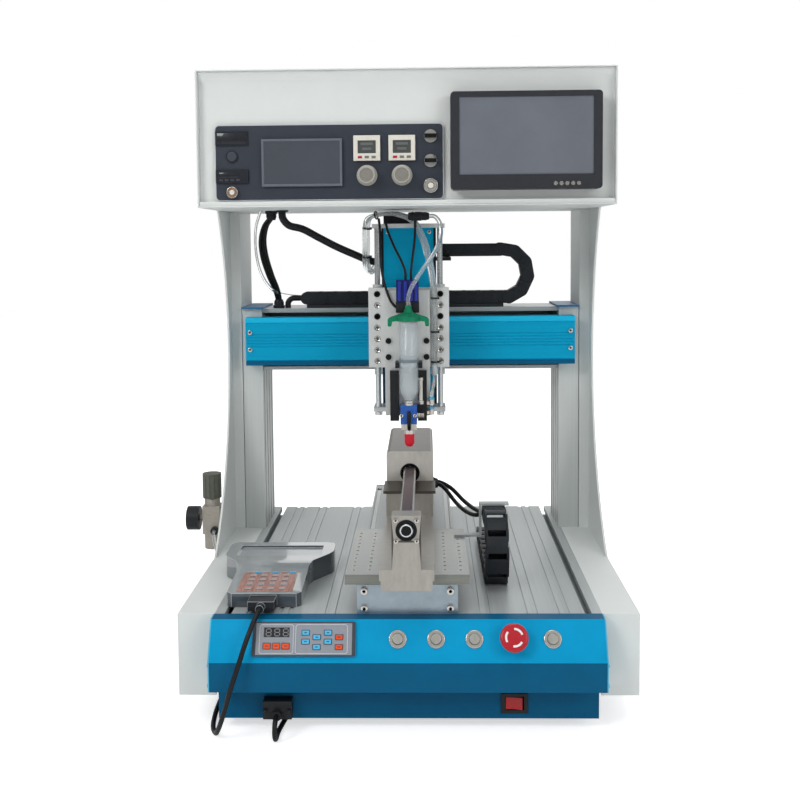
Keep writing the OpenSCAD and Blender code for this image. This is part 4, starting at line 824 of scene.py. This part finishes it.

# Rotary unit: a ground alloy headstock with a brushed lid, and a tailstock with a flanged bearing.
# The square bar between them is dark on its faces and bright on its chamfers.
# Ground alloy: warm grey, with short lines; the headstock's front gets a paler copy as painted light.
# Lid: coarse dark brushing. Bar faces: dark, with long lines.
ground_alloy = skin("ground alloy block", "#aaa7a0", 0.34, 0.55, grain=5, along=(1, 1, 3), vary=0.08, relief=0.06)
brushed_lid = skin("brushed steel lid", "#6a645d", 0.36, 0.25, grain=1.6, along=(24, 1, 1), vary=0.3, relief=0.12)
dark_band = skin("dark ledge band", "#55504a", 0.4, 0.6, grain=2, along=(20, 1, 1), vary=0.15, relief=0.08)
bar_dark = skin("dark bar face", "#55474a", 0.4, 0.6, grain=1.6, along=(1, 30, 1), vary=0.15, relief=0.08)
# A paler copy of the ground alloy: painted light on the headstock's front.
lit_ground_face = skin("painted lit ground face", "#d0cdc6", 0.36, 0.35, grain=5, along=(1, 1, 3), vary=0.05, relief=0.05)
dress("rotary_frame", ground_alloy, (lit_ground_face, lambda c, n: n.y < -0.9 and c.y > 15),
      (brushed_lid, lambda c, n: n.z > 0.9 and c.z > 270),
      (dark_band, lambda c, n: 233.9 < c.z < 238.1 and c.y < 21.5 and (n.y < -0.9 or abs(n.x) > 0.9 or n.z > 0.9)),
      (nickel, lambda c, n: c.y < -283.05), edge=0.7)
dress("spindle", rod_steel, (bar_dark, lambda c, n: max(abs(n.x), abs(n.z)) > 0.98 and -258.4 < c.y < 26),
      (steel_black, lambda c, n: c.y < -258.6), edge=0.4)
bearing = bmesh.new()
axis_z = 249.5
turned(bearing, facing(0, -283, axis_z, 90),
       [(8.6, 0), (8.6, 1), (9.4, 1.4), (11.6, 1.4), (12.4, 0.8), (12.4, 0), (8.6, 0)], 40)
turned(bearing, facing(0, 21, axis_z, 90),
       [(11.6, 0), (11.6, 0.8), (12, 1.2), (13.6, 1.2), (14, 0.6), (14, 0), (11.6, 0)], 40)
for x in (-12, 12):
    for z in (axis_z - 12, axis_z + 12):
        socket_screw(bearing, facing(x, -285.5, z, 90), 2.5, 0.7, mark=1)
new_piece("bearing_rings", bearing, "y_axis", steel_black, nickel, slot="steel")
hub = bmesh.new()
turned(hub, facing(0, -285, axis_z, 90), [(6, 0), (6, 0.5), (7.3, 0.5), (7.6, 0.2), (7.6, 0), (6, 0)], 36)
new_piece("spindle_hub", hub, "spindle", rod_steel, slot="spindle_steel")


# Drag chains: black nylon links with open windows, pinned at a 22 mm pitch round a 36 mm bend.
# One end is fixed to the machine and the other to the axis, and the bend travels half as far as the axis; here each
# chain is built in one pose, as three fixed pieces.
def chain(name, along, start, lower, upper, width):
    up, radius, pitch = Vector((0, 0, 1)), 36, 22
    half = pitch / 2
    kinds = []
    for cheek in (width / 2, width / 2 - 1.1):
        link = bmesh.new()
        for end in (-1, 1):
            outer, inner = end * cheek, end * (cheek - 2.2)
            slab(link, Matrix(), (-half, min(outer, inner), -9.7), (half, max(outer, inner), 9.7))
            for x in (-half, half):
                turned(link, facing(x, outer, 0, -90 * end),
                       [(0, 0.1), (9.2, 0.1), (9.7, -0.4), (9.7, -2), (0, -2)], 24)
            turned(link, facing(half, outer, 0, -90 * end),
                   [(0, 0.5), (3.4, 0.5), (3.8, 0.1), (3.8, -1), (0, -1)], 14)
        for z, back, front in ((-8.7, -9.4, 6.4), (8.7, -11.6, 9.6)):
            slab(link, Matrix(), (back, 2.2 - width / 2, z - 1), (front, width / 2 - 2.2, z + 1), edge=0.6)
        kinds.append(bpy.data.meshes.new(name + ".link"))
        link.to_mesh(kinds[-1])
        link.free()
    runs = [bmesh.new() for _ in range(3)]
    side = along.cross(up)
    bent = lower + math.pi * radius
    total = bent + upper
    count = round(total / pitch)
    for k in range(count):
        s = (k + 0.5) * total / count
        turn = min(max((s - lower) / radius, 0), math.pi)
        way = along * math.cos(turn) + up * math.sin(turn)
        out = along * math.sin(turn) - up * math.cos(turn)
        spot = along * min(s, lower) + up * radius + out * radius
        if turn == math.pi:
            spot -= along * (s - bent)
        place = Matrix.Translation((start + spot) / 1000) @ Matrix((way, side, out)).transposed().to_4x4()
        links = runs[0 if s < lower - half else 2 if s > bent + half else 1]
        first = len(links.verts)
        links.from_mesh(kinds[k % 2])
        links.verts.ensure_lookup_table()
        bmesh.ops.transform(links, matrix=place, verts=links.verts[first:])
    for kind in kinds:
        bpy.data.meshes.remove(kind)
    low, bend, high = (new_piece(f"{name}_{part}", links, None, chain_black, slot="motor_black")
                       for part, links in zip(("lower_run", "bend", "upper_run"), runs))
    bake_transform(low)
    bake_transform(bend)
    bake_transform(high)
    return low


# Moulded nylon: dull charcoal, with a fine grain.
chain_black = skin("black nylon link", "#1e2227", 0.5, grain=5, vary=0.12, fine=0.5, relief=0.22)
x_links = chain("x_chain", Vector((1, 0, 0)), Vector((-158, 153, 495)), 301, 93, 25.4)
y_links = chain("y_chain", Vector((0, -1, 0)), Vector((112, 62, 150.1)), 192, 35, 29.4)
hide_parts("x_chain")
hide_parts("y_chain")

# Pendant: a hand box in a smoke clear case with a recessed screen, a red brown key field and pale keys.
# The lead leaves through a black hood at its front.
# Smoke case: dark gloss, with a painted highlight on its bevelled edges. Key field: brushed red brown. Keys: pale and
# matt.
smoke = skin("smoke clear case", "#565d64", 0.07, grain=40, vary=0.1, relief=0.01, Transmission_Weight=0.2, IOR=1.4,
             Coat_Weight=1.0)
smoke_top = skin("grey top under smoke case", "#8d9294", 0.1, grain=30, relief=0.01, Coat_Weight=1.0)
copper_field = skin("red brown key field", "#a37a70", 0.4, grain=1.6, along=(1, 14, 1), vary=0.4)
pale_key = skin("pale grey key", "#a8948f", 0.4, vary=0.08)
pend_screen = skin("grey pendant screen", "#959a9d", 0.15, grain=50, relief=0.01, Coat_Weight=0.6)
dress("pendant", smoke, (smoke_top, lambda c, n: n.z > 0.9 and c.z > 150),
      (pend_screen, lambda c, n: n.z > 0.9 and 164.5 < c.z < 165.5 and -109 < c.y < -61),
      (hood_black, lambda c, n: c.y < -228.1), edge=2.6)
# The case's bevels get a pale copy of the case: a painted highlight.
case_edge_highlight = skin("painted highlight on clear case edge", "#aab2b8", 0.1, grain=30, vary=0.1, relief=0.01, Coat_Weight=1.0)
case = nodes["pendant"]
case.data.materials.append(case_edge_highlight)
case.modifiers["broken edges"].material = len(case.data.materials) - 1
keys = bmesh.new()
lean = Matrix.Translation((-0.1745, -0.228, 0.157)) @ Matrix.Rotation(math.atan2(5, 68), 4, "X")
slab(keys, lean, (-34, 6, 0.05), (34, 64, 0.35), edge=0.1)
for k in range(6):
    slab(keys, lean @ facing(-27.5 + 11 * k, 66, 0.2), (4, 1.6, 0.9), edge=0.4, mark=1 if k % 2 else 2)
for k in range(4):
    for row in range(4):
        slab(keys, lean @ facing(-21.5 + 14 * k, 15 + 14 * row, 0.3), (3.6, 2.6, 1.2), mark=2)
new_piece("pendant_keys", keys, "pendant", copper_field, key_sky, pale_key, slot="smoke_plastic")

# Air regulator: a cast zinc body and bowl, an olive knob, and a black pressure gauge on its left face.
# The dial is printed white with dark marks and a red hand.
# Cast zinc: rough and dull. Knob: moulded, with a soft grain.
cast_zinc = skin("cast zinc", "#a5a097", 0.5, 0.45, grain=4, vary=0.1, fine=0.8, relief=0.25)
olive = skin("olive moulded knob", "#5c5f56", 0.5, vary=0.08, relief=0.15)
dress("regulator", cast_zinc, (hood_black, lambda c, n: c.x < -331.9),
      (hood_black, lambda c, n: c.y < 136.4 and c.z < 142), edge=0.9)
dress("regulator_knob", olive, edge=0.8)
gauge = bmesh.new()
dial = facing(-350, 150, 151, -90, "Y")
turned(gauge, dial, [(0, 0.1), (16.4, 0.1), (16.4, -0.4), (0, -0.4)], 40)
turned(gauge, dial, [(16.2, -0.2), (16.6, 0.9), (18.2, 0.9), (18.4, -0.2), (16.2, -0.2)], 40, mark=1)
for k in range(11):
    slab(gauge, dial @ facing(0, 0, 0, -135 + 27 * k, "Z"), (11, -0.35, 0), (14 if k % 5 else 14.8, 0.35, 0.3),
         edge=0, mark=1)
slab(gauge, dial @ facing(0, 0, 0, 60, "Z"), (-3, -0.4, 0), (10.5, 0.4, 0.5), edge=0.15, mark=2)
new_piece("regulator_gauge_face", gauge, "machine", print_white, hood_black, stop_red, slot="zinc")
